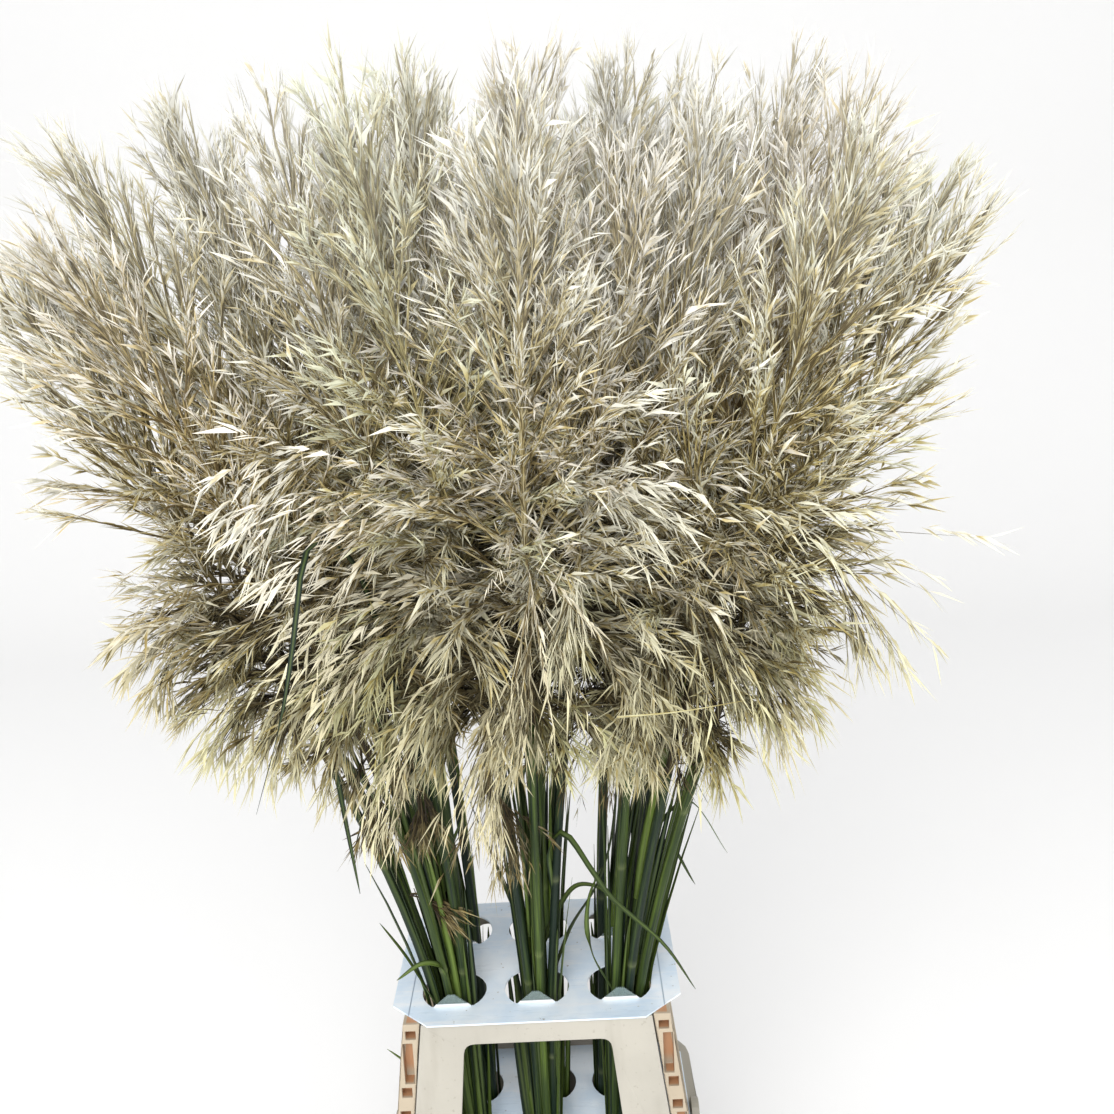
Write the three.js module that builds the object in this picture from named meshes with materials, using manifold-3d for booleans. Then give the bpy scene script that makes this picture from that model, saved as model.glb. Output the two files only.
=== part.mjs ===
// Potted pampas grass: fresh plumes on green stems, standing as six bunches in a plastic
// flower tub. A tapered collar stands on the tub and carries a sheet with six holes. A
// second such sheet lies on the tub's rim, and the stems stand in water below it.
// Millimetres, +Z up. The origin is the middle of the tub's underside.
import * as THREE from "three";
import { mergeVertices } from "three/addons/utils/BufferGeometryUtils.js";
import Module from "manifold-3d";

const wasm = await Module();
wasm.setup();

// Driving dimensions of the holder
const GAP = 0.3;
const TUB = { height: 238, baseX: 165, baseY: 115, topX: 182, topY: 132, rimX: 200, rimY: 150, wall: 3 };
const TUB_CORNER = { base: 30, top: 34, rim: 40 };
const RIM_DROP = 14;
const LUG = { radius: 17, thick: 10, sides: 20 };
const WATER_DEPTH = 62;
const SHEET = 2;
const LOWER_SHEET = { x: 188, y: 138, cutX: 30, cutY: 26 };
const UPPER_SHEET = { x: 172, y: 126.5, cutX: 45, cutY: 40 };
const HOLE = { radius: 39, chord: 30, spacingX: 100, spacingY: 124 };
const FOLD = { x: 151, wide: 1.4, deep: 0.7 };
const TONGUE = { width: 44, height: 21, tip: 8, thick: 1.2, lean: 14, sunk: 1 };
const COLLAR = { height: 239, topX: 135, baseX: 165, topY: 123, baseY: 137, wall: 3 };
const WINDOW = { top: 27, bottom: 30, topX: 86, baseX: 103, corner: 13, cornerTaper: 1 };
const RETURN_DEPTH = 14;
const SIDE = { thick: 20, step: 1.5, band: 34 };
const POCKET = { wide: 12, deep: 15 };
const POCKET_SPANS = [[9, 20], [25, 78], [83, 96], [114, 126], [131, 184], [189, 202]];

// Driving dimensions of the plants. Heights g start at the upper sheet's top. A bunch has
// the half width BUNCH_AT_SHEET there, closes to "spread" below, and OPENING widens it
// above, in proportion to g and to g squared. STRAY is how far a stem leaves its place.
const STEMS_A_BUNCH = 7;
const STEM = { base: 5.8, neck: 4.5, sides: 5, ringStep: 120 };
const BUNCH_AT_SHEET = { x: 17, y: 15 };
const BUNCH_AT_FOOT = { spread: 8.4, below: -262, straighter: 0.6, clear: 1.5, holeSides: 14 };
const OPENING = { x: 0.065, moreX: 1.0e-4, y: 0.05, moreY: 9e-5 };
const STRAY = { share: 0.13, fullAt: 500 };

// The plumes' tips make a dome: "top" in the middle, falling with x and y squared
const DOME = { top: 1045, fallX: 4.6e-4, fallY: 8e-4, uneven: 75, evenMiddle: 0.3, measuredAt: 900 };
const PLUME = { length: 600, uneven: 0.05, rings: 12, sides: 3, twist: 67, turnEach: 40 };
const CORE = { base: 8, tip: 2, grown: 12, taper: 0.6 };

// A spray's length grows from "tip" downwards, and its angle opens from "narrow" degrees
const SPRAY = { tip: 60, grown: 235, growth: 0.7, shortLow: 0.3, lowOnly: 4, uneven: 0.12 };
const SPRAY_ANGLE = { narrow: 14, open: 70, opening: 1.1, sag: 0.3, wander: 0.25 };
const SPRAY_ROOM = { root: 12, tip: 1.2, axis: 1.5, stalk: 1 };
const SPRAY_TRIM = { checks: 14, step: 0.82, least: 0.125, stub: 2 };
const AXIS_STEP = 30;
const LEAF = { width: 11, thick: 1.4, step: 28, rootWidth: 0.4, swell: 3 };

// Where each bunch stands on the upper sheet, how much it leans there, and how much more
// it leans further up. "wide" is how far it opens sideways beside the others.
const BUNCHES = [
  {
    name: "front_left", wide: 1.25,
    x: -103, leanX: -0.095, bendX: -1.6e-4,
    y: -66, leanY: -0.08, bendY: -3.5e-5,
  },
  {
    name: "front_middle", wide: 0.9,
    x: 5, leanX: 0.02, bendX: 1e-5,
    y: -66, leanY: -0.095, bendY: -4.5e-5,
  },
  {
    name: "front_right", wide: 0.98,
    x: 110, leanX: 0.115, bendX: 1.25e-4,
    y: -66, leanY: -0.08, bendY: -3.5e-5,
  },
  {
    name: "back_left", wide: 1.15,
    x: -100, leanX: -0.11, bendX: -1.6e-4,
    y: 64, leanY: 0.07, bendY: 4e-5,
  },
  {
    name: "back_middle", wide: 0.86,
    x: 10, leanX: 0.01, bendX: 1e-5,
    y: 64, leanY: 0.085, bendY: 5e-5,
  },
  {
    name: "back_right", wide: 1,
    x: 98, leanX: 0.11, bendX: 1.5e-4,
    y: 64, leanY: 0.07, bendY: 4e-5,
  },
];

// Long narrow leaves. Each row: bunch, stem, height of the root on its stem, and the
// points x, y, height that the leaf passes on its way to its tip.
const LEAVES = [
  [0, 6, 230, [-118, -140, 380], [-152, -198, 560], [-180, -228, 600], [-197, -245, 517],
    [-217, -245, 446], [-257, -235, 335]],
  [0, 5, 230, [-166, -150, 320], [-188, -176, 372], [-184, -182, 319], [-174, -188, 213]],
  [0, 4, -20, [-133, -86, 25], [-151, -95, 74], [-174, -105, 124]],
  [0, 5, 30, [-112, -100, 62], [-130, -108, 70], [-158, -120, 58]],
  [0, 4, -200, [-125, -62, -178], [-157, -60, -142], [-171, -60, -112], [-183, -60, -85]],
  [1, 6, 130, [28, -112, 215], [42, -119, 236], [73, -126, 190], [92, -130, 160],
    [150, -131, 97], [185, -130, 36]],
  [1, 1, 10, [46, -44, 68], [78, -40, 118], [96, -34, 165], [108, -25, 236], [114, -20, 292]],
  [1, 2, 40, [36, -32, 96], [54, -26, 113], [76, -20, 108], [97, -16, 88]],
  [1, 3, 80, [-32, -45, 127], [-53, -32, 184], [-69, -22, 232], [-78, -15, 270]],
  [2, 4, -10, [70, -78, 48], [64, -75, 85], [70, -62, 122], [86, -48, 150]],
  [2, 1, 100, [152, -45, 190], [190, -38, 225], [238, -30, 150]],
  [3, 5, 90, [-108, 22, 130], [-92, 2, 172], [-70, -4, 225]],
  [3, 3, 60, [-168, 108, 175], [-212, 128, 170], [-248, 146, 90]],
  [4, 2, 60, [6, 122, 165], [-8, 165, 185], [-22, 205, 110]],
  [5, 1, 80, [148, 108, 190], [192, 130, 205], [240, 150, 120]],
  [5, 6, 30, [138, 42, 112], [168, 32, 135], [204, 22, 78]],
];

// Heights of what stands on what
const LOWER_SHEET_Z = TUB.height + GAP;
const COLLAR_Z = LOWER_SHEET_Z + SHEET + GAP;
const UPPER_SHEET_Z = COLLAR_Z + COLLAR.height + GAP;
const PLANTS_Z = UPPER_SHEET_Z + SHEET;
const WATER_Z = TUB.wall + GAP;
const FOOT = WATER_Z - PLANTS_Z;

// A repeatable number from 0 to 1 for a pair of numbers
function chance(a, b) {
  const wave = Math.sin(a * 127.1 + b * 311.7 + 17.3) * 43758.5453;
  return wave - Math.floor(wave);
}

const spread = (a, b, amount) => (2 * chance(a, b) - 1) * amount;

// Making solids

function surface(points, triangles) {
  const geometry = new THREE.BufferGeometry().setFromPoints(points);
  geometry.setIndex(triangles.flat());
  geometry.computeVertexNormals();
  return geometry;
}

function solidOf(geometry) {
  const bare = geometry.clone();
  bare.deleteAttribute("normal");
  bare.deleteAttribute("uv");
  const merged = mergeVertices(bare, 1e-3);
  const mesh = new wasm.Mesh({
    numProp: 3,
    vertProperties: merged.attributes.position.array,
    triVerts: new Uint32Array(merged.index.array),
  });
  return new wasm.Manifold(mesh);
}

function geometryOf(solid) {
  const mesh = solid.getMesh();
  const geometry = new THREE.BufferGeometry();
  geometry.setAttribute("position", new THREE.BufferAttribute(mesh.vertProperties, 3));
  geometry.setIndex(new THREE.BufferAttribute(mesh.triVerts, 1));
  geometry.computeVertexNormals();
  return geometry;
}

// A closed skin over a stack of rings, each counterclockwise seen from above
function loft(rings) {
  const n = rings[0].length;
  const last = (rings.length - 1) * n;
  const triangles = [];
  for (let k = 0; k < rings.length - 1; k++) {
    for (let m = 0; m < n; m++) {
      const a = k * n + m;
      const b = k * n + ((m + 1) % n);
      triangles.push([a, b, b + n], [a, b + n, a + n]);
    }
  }
  for (let m = 1; m < n - 1; m++) {
    triangles.push([0, m + 1, m], [last, last + m, last + m + 1]);
  }
  return surface(rings.flat(), triangles);
}

function roundRing(centre, radius, sides, turn = 0) {
  return Array.from({ length: sides }, (_, m) => {
    const angle = turn + (2 * Math.PI * m) / sides;
    const out = new THREE.Vector3(Math.cos(angle), Math.sin(angle), 0);
    return out.multiplyScalar(radius).add(centre);
  });
}

// A rectangle with round corners, level at height z
function corneredRing(halfX, halfY, corner, z, steps = 4) {
  const ring = [];
  [[1, 1], [-1, 1], [-1, -1], [1, -1]].forEach(([sx, sy], quarter) => {
    for (let i = 0; i <= steps; i++) {
      const angle = (quarter + i / steps) * (Math.PI / 2);
      const x = sx * (halfX - corner) + corner * Math.cos(angle);
      const y = sy * (halfY - corner) + corner * Math.sin(angle);
      ring.push(new THREE.Vector3(x, y, z));
    }
  });
  return ring;
}

// The holder

const tubHalfX = (z) => THREE.MathUtils.lerp(TUB.baseX, TUB.topX, z / TUB.height);
const tubHalfY = (z) => THREE.MathUtils.lerp(TUB.baseY, TUB.topY, z / TUB.height);

// The rings climb the outside, go round the rim and come down the inside
function tubSolid() {
  const { height, rimX, rimY, wall } = TUB;
  const { base, top, rim } = TUB_CORNER;
  const lip = height - RIM_DROP;
  const under = height - wall;
  const rings = [
    corneredRing(tubHalfX(0), tubHalfY(0), base, 0),
    corneredRing(tubHalfX(under), tubHalfY(under), top, under),
    corneredRing(rimX - wall, rimY - wall, rim - wall, under),
    corneredRing(rimX - wall, rimY - wall, rim - wall, lip),
    corneredRing(rimX, rimY, rim, lip),
    corneredRing(rimX, rimY, rim, height),
    corneredRing(tubHalfX(height) - wall, tubHalfY(height) - wall, top - wall, height),
    corneredRing(tubHalfX(wall) - wall, tubHalfY(wall) - wall, base - wall, wall),
  ];
  let tub = solidOf(loft(rings));
  for (const end of [-1, 1]) {
    const lug = new THREE.CylinderGeometry(LUG.radius, LUG.radius, LUG.thick, LUG.sides);
    lug.rotateZ(Math.PI / 2).translate(end * (rimX - LUG.thick / 2 - GAP), 0, height);
    tub = tub.add(solidOf(lug));
  }
  return tub;
}

// Fills the tub's foot and leaves a plain hole for each bunch of stems
function waterSolid() {
  const inset = TUB.wall + GAP;
  const level = (z) => {
    const height = z + WATER_Z;
    return corneredRing(tubHalfX(height) - inset, tubHalfY(height) - inset, TUB_CORNER.base, z);
  };
  let water = solidOf(loft([level(0), level(WATER_DEPTH)]));
  for (const bunch of BUNCHES) {
    const rings = [-1, WATER_DEPTH + 1].map((z) => {
      const g = z + FOOT;
      const at = bunchCentre(bunch, g);
      const radius = bunchSpread(bunch, g).x + STEM.base + BUNCH_AT_FOOT.clear;
      return roundRing(new THREE.Vector3(at.x, at.y, z), radius, BUNCH_AT_FOOT.holeSides);
    });
    water = water.subtract(solidOf(loft(rings)));
  }
  return water;
}

const holeCentres = [-1, 1].flatMap((row) =>
  [-1, 0, 1].map((column) => {
    return new THREE.Vector2(column * HOLE.spacingX, (row * HOLE.spacingY) / 2);
  }),
);

// A flat sheet with cut corners and six holes, each with a straight edge in front
function sheetGeometry({ x, y, cutX, cutY }) {
  const corners = [
    [x, y - cutY], [x - cutX, y], [cutX - x, y], [-x, y - cutY],
    [-x, cutY - y], [cutX - x, -y], [x - cutX, -y], [x, cutY - y],
  ];
  const outline = new THREE.Shape(corners.map(([u, v]) => new THREE.Vector2(u, v)));
  const half = Math.acos(HOLE.chord / HOLE.radius);
  const start = -Math.PI / 2 + half;
  for (const centre of holeCentres) {
    const hole = new THREE.Path();
    hole.absarc(centre.x, centre.y, HOLE.radius, start, Math.PI - start, false);
    hole.closePath();
    outline.holes.push(hole);
  }
  return new THREE.ExtrudeGeometry(outline, { depth: SHEET, bevelEnabled: false, curveSegments: 12 });
}

// The tongue that stands up where a hole's front edge is cut
function tongueSolid(centre) {
  const { width, height, tip, thick, lean, sunk } = TONGUE;
  const corners = [
    [-width / 2, 0], [width / 2, 0], [width / 2, 2 * sunk],
    [tip / 2, height], [-tip / 2, height], [-width / 2, 2 * sunk],
  ];
  const outline = new THREE.Shape(corners.map(([u, v]) => new THREE.Vector2(u, v)));
  const tongue = new THREE.ExtrudeGeometry(outline, { depth: thick, bevelEnabled: false });
  tongue.rotateX(THREE.MathUtils.degToRad(90 + lean));
  tongue.translate(centre.x, centre.y - HOLE.chord, SHEET - sunk);
  return solidOf(tongue);
}

// The upper sheet is scored along two fold lines and has its tongues
function upperSheetSolid() {
  let sheet = solidOf(sheetGeometry(UPPER_SHEET));
  for (const end of [-1, 1]) {
    const score = new THREE.BoxGeometry(FOLD.wide, 2 * UPPER_SHEET.x, 2 * FOLD.deep);
    score.translate(end * FOLD.x, 0, SHEET);
    sheet = sheet.subtract(solidOf(score));
  }
  return holeCentres.reduce((all, centre) => all.add(tongueSolid(centre)), sheet);
}

// An upright panel that narrows upwards, with a window that has round corners
function panelShape(baseHalf, topHalf, windowBase, windowTop) {
  const outline = new THREE.Shape([
    new THREE.Vector2(-baseHalf, 0), new THREE.Vector2(baseHalf, 0),
    new THREE.Vector2(topHalf, COLLAR.height), new THREE.Vector2(-topHalf, COLLAR.height),
  ]);
  const low = WINDOW.bottom;
  const high = COLLAR.height - WINDOW.top;
  const r = WINDOW.corner;
  const taper = WINDOW.cornerTaper;
  const hole = new THREE.Path();
  hole.moveTo(-windowBase + r, low);
  hole.lineTo(windowBase - r, low);
  hole.quadraticCurveTo(windowBase, low, windowBase - taper, low + r);
  hole.lineTo(windowTop + taper, high - r);
  hole.quadraticCurveTo(windowTop, high, windowTop - r, high);
  hole.lineTo(-windowTop + r, high);
  hole.quadraticCurveTo(-windowTop, high, -windowTop - taper, high - r);
  hole.lineTo(-windowBase + taper, low + r);
  hole.quadraticCurveTo(-windowBase, low, -windowBase + r, low);
  outline.holes.push(hole);
  return outline;
}

// Stands a drawn outline upright, with its outer face at y = 0 along the base, and leans
// it back by the slope as it rises
function uprightSolid(outline, depth, slope) {
  const panel = new THREE.ExtrudeGeometry(outline, { depth, bevelEnabled: false, curveSegments: 4 });
  panel.rotateX(Math.PI / 2).translate(0, depth, 0);
  const lean = new THREE.Matrix4().set(1, 0, 0, 0, 0, 1, slope, 0, 0, 0, 1, 0, 0, 0, 0, 1);
  return solidOf(panel.applyMatrix4(lean));
}

const slopeX = (COLLAR.baseX - COLLAR.topX) / COLLAR.height;
const slopeY = (COLLAR.baseY - COLLAR.topY) / COLLAR.height;

// The front and back are thin, with a return along each side
function frontPanelSolid() {
  const { baseX, topX, height, wall } = COLLAR;
  const face = panelShape(baseX, topX, WINDOW.baseX, WINDOW.topX);
  let panel = uprightSolid(face, wall, slopeY);
  for (const end of [-1, 1]) {
    const corners = [
      [end * baseX, 0], [end * (baseX - wall), 0], [end * (topX - wall), height], [end * topX, height],
    ];
    const edge = new THREE.Shape(corners.map(([u, v]) => new THREE.Vector2(u, v)));
    panel = panel.add(uprightSolid(edge, RETURN_DEPTH, slopeY));
  }
  return panel;
}

// The sides are deep ladder frames, with pockets that open to the front and the back
function sidePanelSolid() {
  const inset = COLLAR.wall + GAP;
  const baseHalf = COLLAR.baseY - inset;
  const topHalf = COLLAR.topY - inset;
  const frame = panelShape(baseHalf, topHalf, baseHalf - SIDE.band, topHalf - SIDE.band);
  let side = uprightSolid(frame, SIDE.thick, slopeX);
  for (const [from, to] of POCKET_SPANS) {
    for (const edge of [-1, 1]) {
      const z = COLLAR.height - (from + to) / 2;
      const pocket = new THREE.BoxGeometry(2 * POCKET.deep, POCKET.wide, to - from);
      pocket.translate(edge * (baseHalf - slopeY * z), SIDE.thick / 2 + slopeX * z, z);
      side = side.subtract(solidOf(pocket));
    }
  }
  return side;
}

// Where the stems run. A height g is measured from the upper sheet. Below it a bunch
// closes up towards its feet. Above it the bunches lean apart and each opens out, by
// formulas that never let two stems cross.

function bunchCentre(bunch, g) {
  const run = g > 0 ? g : g * BUNCH_AT_FOOT.straighter;
  const bend = g > 0 ? g * g : 0;
  const x = bunch.x + bunch.leanX * run + bunch.bendX * bend;
  const y = bunch.y + bunch.leanY * run + bunch.bendY * bend;
  return new THREE.Vector2(x, y);
}

function bunchSpread(bunch, g) {
  const atSheet = new THREE.Vector2(BUNCH_AT_SHEET.x * bunch.wide, BUNCH_AT_SHEET.y);
  if (g < 0) {
    const atFoot = new THREE.Vector2(BUNCH_AT_FOOT.spread, BUNCH_AT_FOOT.spread);
    return atSheet.lerp(atFoot, Math.min(1, g / BUNCH_AT_FOOT.below));
  }
  const x = bunch.wide * (OPENING.x * g + OPENING.moreX * g * g);
  const y = OPENING.y * g + OPENING.moreY * g * g;
  return atSheet.add(new THREE.Vector2(x, y));
}

// The first stem stands in the middle of its bunch and the others ring it evenly
function placeInBunch(stem) {
  if (stem === 0) return new THREE.Vector2(0, 0);
  const angle = ((stem - 0.5) / (STEMS_A_BUNCH - 1)) * 2 * Math.PI;
  return new THREE.Vector2(Math.cos(angle), Math.sin(angle));
}

function stemPoint(plant, g) {
  const strayed = STRAY.share * THREE.MathUtils.clamp(g / STRAY.fullAt, 0, 1);
  const place = plant.place.clone().addScaledVector(plant.stray, strayed);
  const at = place.multiply(bunchSpread(plant.bunch, g)).add(bunchCentre(plant.bunch, g));
  return new THREE.Vector3(at.x, at.y, g);
}

function directionAt(plant, g) {
  const near = 5;
  return stemPoint(plant, g + near).sub(stemPoint(plant, g - near)).normalize();
}

// The tips make a dome, and each plume reaches down from its tip to its neck
function makePlant(bunch, b, stem) {
  const index = b * STEMS_A_BUNCH + stem;
  const stray = new THREE.Vector2(spread(index, 1, 1), spread(index, 2, 1));
  const plant = { bunch, stem, index, stray, place: placeInBunch(stem) };
  const reach = stemPoint(plant, DOME.measuredAt);
  const uneven = DOME.uneven * (stem === 0 ? DOME.evenMiddle : 1);
  const fall = DOME.fallX * reach.x ** 2 + DOME.fallY * reach.y ** 2;
  plant.tip = DOME.top - fall - uneven * chance(index, 3);
  const rise = directionAt(plant, plant.tip - PLUME.length / 2).z;
  plant.neck = plant.tip - PLUME.length * rise * (1 + spread(index, 4, PLUME.uneven));
  return plant;
}

const plants = BUNCHES.flatMap((bunch, b) =>
  Array.from({ length: STEMS_A_BUNCH }, (_, stem) => makePlant(bunch, b, stem)),
);

// Stems and leaves

function stemSolid(plant) {
  const heights = [FOOT, FOOT / 2];
  const steps = Math.ceil(plant.neck / STEM.ringStep);
  for (let i = 0; i < steps; i++) heights.push((plant.neck * i) / steps);
  heights.push(plant.neck - GAP);
  const rings = heights.map((g) => {
    const share = (g - FOOT) / (plant.neck - FOOT);
    const radius = THREE.MathUtils.lerp(STEM.base, STEM.neck, share);
    return roundRing(stemPoint(plant, g), radius, STEM.sides);
  });
  return solidOf(loft(rings));
}

function leafCurve([bunch, stem, root, ...points]) {
  const foot = stemPoint(plants[bunch * STEMS_A_BUNCH + stem], root);
  const rest = points.map((point) => new THREE.Vector3(...point));
  return new THREE.CatmullRomCurve3([foot, ...rest], false, "centripetal");
}

const leafCurves = LEAVES.map(leafCurve);

// Three-cornered in section, with a keel below, and drawn out to a point
function leafSolid(curve) {
  const steps = Math.round(curve.getLength() / LEAF.step) + 2;
  const points = [];
  for (let i = 0; i < steps; i++) {
    const share = i / steps;
    const along = curve.getTangentAt(share);
    const across = new THREE.Vector3(-along.y, along.x, 0).normalize();
    const face = new THREE.Vector3().crossVectors(along, across);
    const wide = Math.min(1, LEAF.rootWidth + LEAF.swell * share);
    const half = (LEAF.width / 2) * Math.sqrt(1 - share) * wide;
    const at = curve.getPointAt(share);
    points.push(
      at.clone().addScaledVector(across, half),
      at.clone().addScaledVector(face, LEAF.thick),
      at.clone().addScaledVector(across, -half),
    );
  }
  const apex = points.push(curve.getPointAt(1)) - 1;
  const triangles = [[0, 2, 1]];
  for (let k = 0; k < steps; k++) {
    for (let m = 0; m < 3; m++) {
      const a = k * 3 + m;
      const b = k * 3 + ((m + 1) % 3);
      if (k === steps - 1) triangles.push([a, b, apex]);
      else triangles.push([a, b, b + 3], [a, b + 3, a + 3]);
    }
  }
  return solidOf(surface(points, triangles));
}

function bunchSolid(b) {
  const stems = plants.filter((plant) => plant.bunch === BUNCHES[b]).map(stemSolid);
  const leaves = leafCurves.filter((_, i) => LEAVES[i][0] === b).map(leafSolid);
  return [...stems, ...leaves].reduce((all, one) => all.add(one));
}

// Plumes

function sampled(plant, from, to) {
  const count = Math.ceil((to - from) / AXIS_STEP);
  const share = (i) => THREE.MathUtils.lerp(from, to, i / count);
  return Array.from({ length: count + 1 }, (_, i) => stemPoint(plant, share(i)));
}

// What a plume's sprays keep clear of: the other plumes' axes, the stems and the leaves
const axes = plants.map((plant) => sampled(plant, plant.neck, plant.tip));
const stalks = plants.map((plant) => sampled(plant, 0, plant.neck));
const leafLines = leafCurves.map((curve) => curve.getSpacedPoints(16));

function distanceTo(line, point) {
  const nearest = new THREE.Vector3();
  const stretch = new THREE.Line3();
  let least = Infinity;
  for (let i = 0; i < line.length - 1; i++) {
    stretch.set(line[i], line[i + 1]).closestPointToPoint(point, true, nearest);
    least = Math.min(least, nearest.distanceTo(point));
  }
  return least;
}

// True where a spray of this half width is on its own plume's side of every neighbour
function isClear(plant, point, half) {
  const own = distanceTo(axes[plant.index], point);
  const clearOfPlants = plants.every((other) => {
    if (other === plant) return true;
    if (distanceTo(axes[other.index], point) < own + 2 * half + SPRAY_ROOM.axis) return false;
    return distanceTo(stalks[other.index], point) > STEM.base + half + SPRAY_ROOM.stalk;
  });
  const room = LEAF.width / 2 + 2 * half;
  return clearOfPlants && leafLines.every((line) => distanceTo(line, point) > room);
}

// A spray is shortened until it is clear along all its length
function clearLength(plant, root, direction, wanted) {
  const { checks, step, least, stub } = SPRAY_TRIM;
  for (let length = wanted; length > wanted * least; length *= step) {
    let clear = true;
    for (let i = 1; clear && i <= checks; i++) {
      const share = i / checks;
      const point = root.clone().addScaledVector(direction, length * share);
      clear = isClear(plant, point, THREE.MathUtils.lerp(SPRAY_ROOM.root, SPRAY_ROOM.tip, share));
    }
    if (clear) return length;
  }
  return stub;
}

// A spray's direction and length, by its place t from the plume's base to its tip. The
// higher it stands the closer it lies to the axis, and low sprays sag.
function sprayOf(plant, number, t, root, centre, along) {
  const out = root.clone().sub(centre).projectOnPlane(along).normalize();
  out.applyAxisAngle(along, spread(plant.index * 31, number, SPRAY_ANGLE.wander));
  const { narrow, open, opening, sag } = SPRAY_ANGLE;
  const angle = THREE.MathUtils.degToRad(narrow + open * Math.pow(1 - t, opening));
  const direction = out.multiplyScalar(Math.sin(angle)).addScaledVector(along, Math.cos(angle));
  direction.z -= sag * (1 - t);
  direction.normalize();
  const grown = SPRAY.tip + SPRAY.grown * Math.pow(1 - t, SPRAY.growth);
  const lost = SPRAY.shortLow * Math.pow(1 - t, SPRAY.lowOnly);
  const kept = 1 - lost + spread(plant.index * 17, number, SPRAY.uneven);
  return { direction, length: clearLength(plant, root, direction, grown * kept) };
}

// A slim twisted core, with every face drawn out into one pointed spray
function plumeGeometry(plant) {
  const { rings, sides, twist, turnEach } = PLUME;
  const points = [];
  const triangles = [];
  for (let k = 0; k < rings; k++) {
    const t = k / rings;
    const centre = stemPoint(plant, THREE.MathUtils.lerp(plant.neck, plant.tip, t));
    const radius = k === 0 ? CORE.base : CORE.tip + CORE.grown * Math.pow(1 - t, CORE.taper);
    const turn = THREE.MathUtils.degToRad(twist * k + turnEach * plant.index);
    points.push(...roundRing(centre, radius, sides, turn));
  }
  const tip = points.push(stemPoint(plant, plant.tip)) - 1;
  const drawOut = (u, v, w) => {
    const root = points[u].clone().add(points[v]).add(points[w]).divideScalar(3);
    const t = (root.z - plant.neck) / (plant.tip - plant.neck);
    const centre = stemPoint(plant, root.z);
    const along = directionAt(plant, root.z);
    const { direction, length } = sprayOf(plant, triangles.length / 3, t, root, centre, along);
    const point = points.push(root.addScaledVector(direction, length)) - 1;
    triangles.push([u, v, point], [v, w, point], [w, u, point]);
  };
  for (let k = 0; k < rings - 1; k++) {
    for (let m = 0; m < sides; m++) {
      const a = k * sides + m;
      const b = k * sides + ((m + 1) % sides);
      drawOut(a, b, a + sides);
      drawOut(b, b + sides, a + sides);
    }
  }
  const top = (rings - 1) * sides;
  for (let m = 0; m < sides; m++) triangles.push([top + m, top + ((m + 1) % sides), tip]);
  triangles.push([0, 2, 1]);
  return surface(points, triangles);
}

// The finished part

const finish = {
  tub: new THREE.MeshStandardMaterial({ color: 0xcdbb9f, roughness: 0.55 }),
  collar: new THREE.MeshStandardMaterial({ color: 0xd9cdb6, roughness: 0.55 }),
  sheet: new THREE.MeshStandardMaterial({ color: 0xc4d6ea, roughness: 0.35 }),
  water: new THREE.MeshStandardMaterial({ color: 0xa8b8b0, roughness: 0.05 }),
  stem: new THREE.MeshStandardMaterial({ color: 0x4a6b2c, roughness: 0.5 }),
  plume: new THREE.MeshStandardMaterial({ color: 0xcabf9f, roughness: 0.95 }),
};

function addNode(group, name, geometry, material) {
  const mesh = new THREE.Mesh(geometry, material);
  mesh.name = name;
  group.add(mesh);
  return mesh;
}

const part = new THREE.Group();
addNode(part, "tub", geometryOf(tubSolid()), finish.tub);
addNode(part, "water", geometryOf(waterSolid()), finish.water).position.z = WATER_Z;
addNode(part, "lower_sheet", sheetGeometry(LOWER_SHEET), finish.sheet).position.z = LOWER_SHEET_Z;
addNode(part, "upper_sheet", geometryOf(upperSheetSolid()), finish.sheet).position.z = UPPER_SHEET_Z;

const collar = new THREE.Group();
collar.position.z = COLLAR_Z;
part.add(collar);
const frontGeometry = geometryOf(frontPanelSolid());
addNode(collar, "collar_front", frontGeometry, finish.collar).position.y = -COLLAR.baseY;
const back = addNode(collar, "collar_back", frontGeometry, finish.collar);
back.position.y = COLLAR.baseY;
back.rotation.z = Math.PI;
const sideGeometry = geometryOf(sidePanelSolid());
for (const [name, end] of [["collar_left", -1], ["collar_right", 1]]) {
  const side = addNode(collar, name, sideGeometry, finish.collar);
  side.position.x = end * (COLLAR.baseX + SIDE.step + SIDE.thick);
  side.rotation.z = (end * Math.PI) / 2;
}

BUNCHES.forEach((bunch, b) => {
  const group = new THREE.Group();
  group.position.z = PLANTS_Z;
  part.add(group);
  addNode(group, `stems_${bunch.name}`, geometryOf(bunchSolid(b)), finish.stem);
  for (const plant of plants.filter((one) => one.bunch === bunch)) {
    addNode(group, `plume_${bunch.name}_${plant.stem + 1}`, plumeGeometry(plant), finish.plume);
  }
});

export default part;
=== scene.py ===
"""Potted pampas grass: fluffy plumes on green stems, in a plastic flower tub.

Six bunches of seven stems stand in water in the tub. A collar on the tub carries a sheet
with six holes that holds the bunches upright, and a second sheet lies on the tub's rim.
"""

import math

import bpy
import numpy as np
from bpy.props import FloatProperty, FloatVectorProperty, IntProperty, PointerProperty
from mathutils import Matrix, Vector


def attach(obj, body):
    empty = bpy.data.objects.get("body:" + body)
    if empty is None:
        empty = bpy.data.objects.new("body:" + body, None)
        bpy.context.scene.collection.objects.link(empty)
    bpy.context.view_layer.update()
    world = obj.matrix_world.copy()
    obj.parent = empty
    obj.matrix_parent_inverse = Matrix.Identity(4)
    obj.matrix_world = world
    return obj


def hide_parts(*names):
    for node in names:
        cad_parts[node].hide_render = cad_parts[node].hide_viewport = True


bl_info = {
    "name": "Pampas grass in a flower tub",
    "version": (1, 0, 0),
    "blender": (4, 2, 0),
    "location": "View3D > Sidebar > Pampas",
    "description": "Builds pampas plumes and stems, and finishes the tub that holds them",
    "category": "Object",
}

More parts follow.
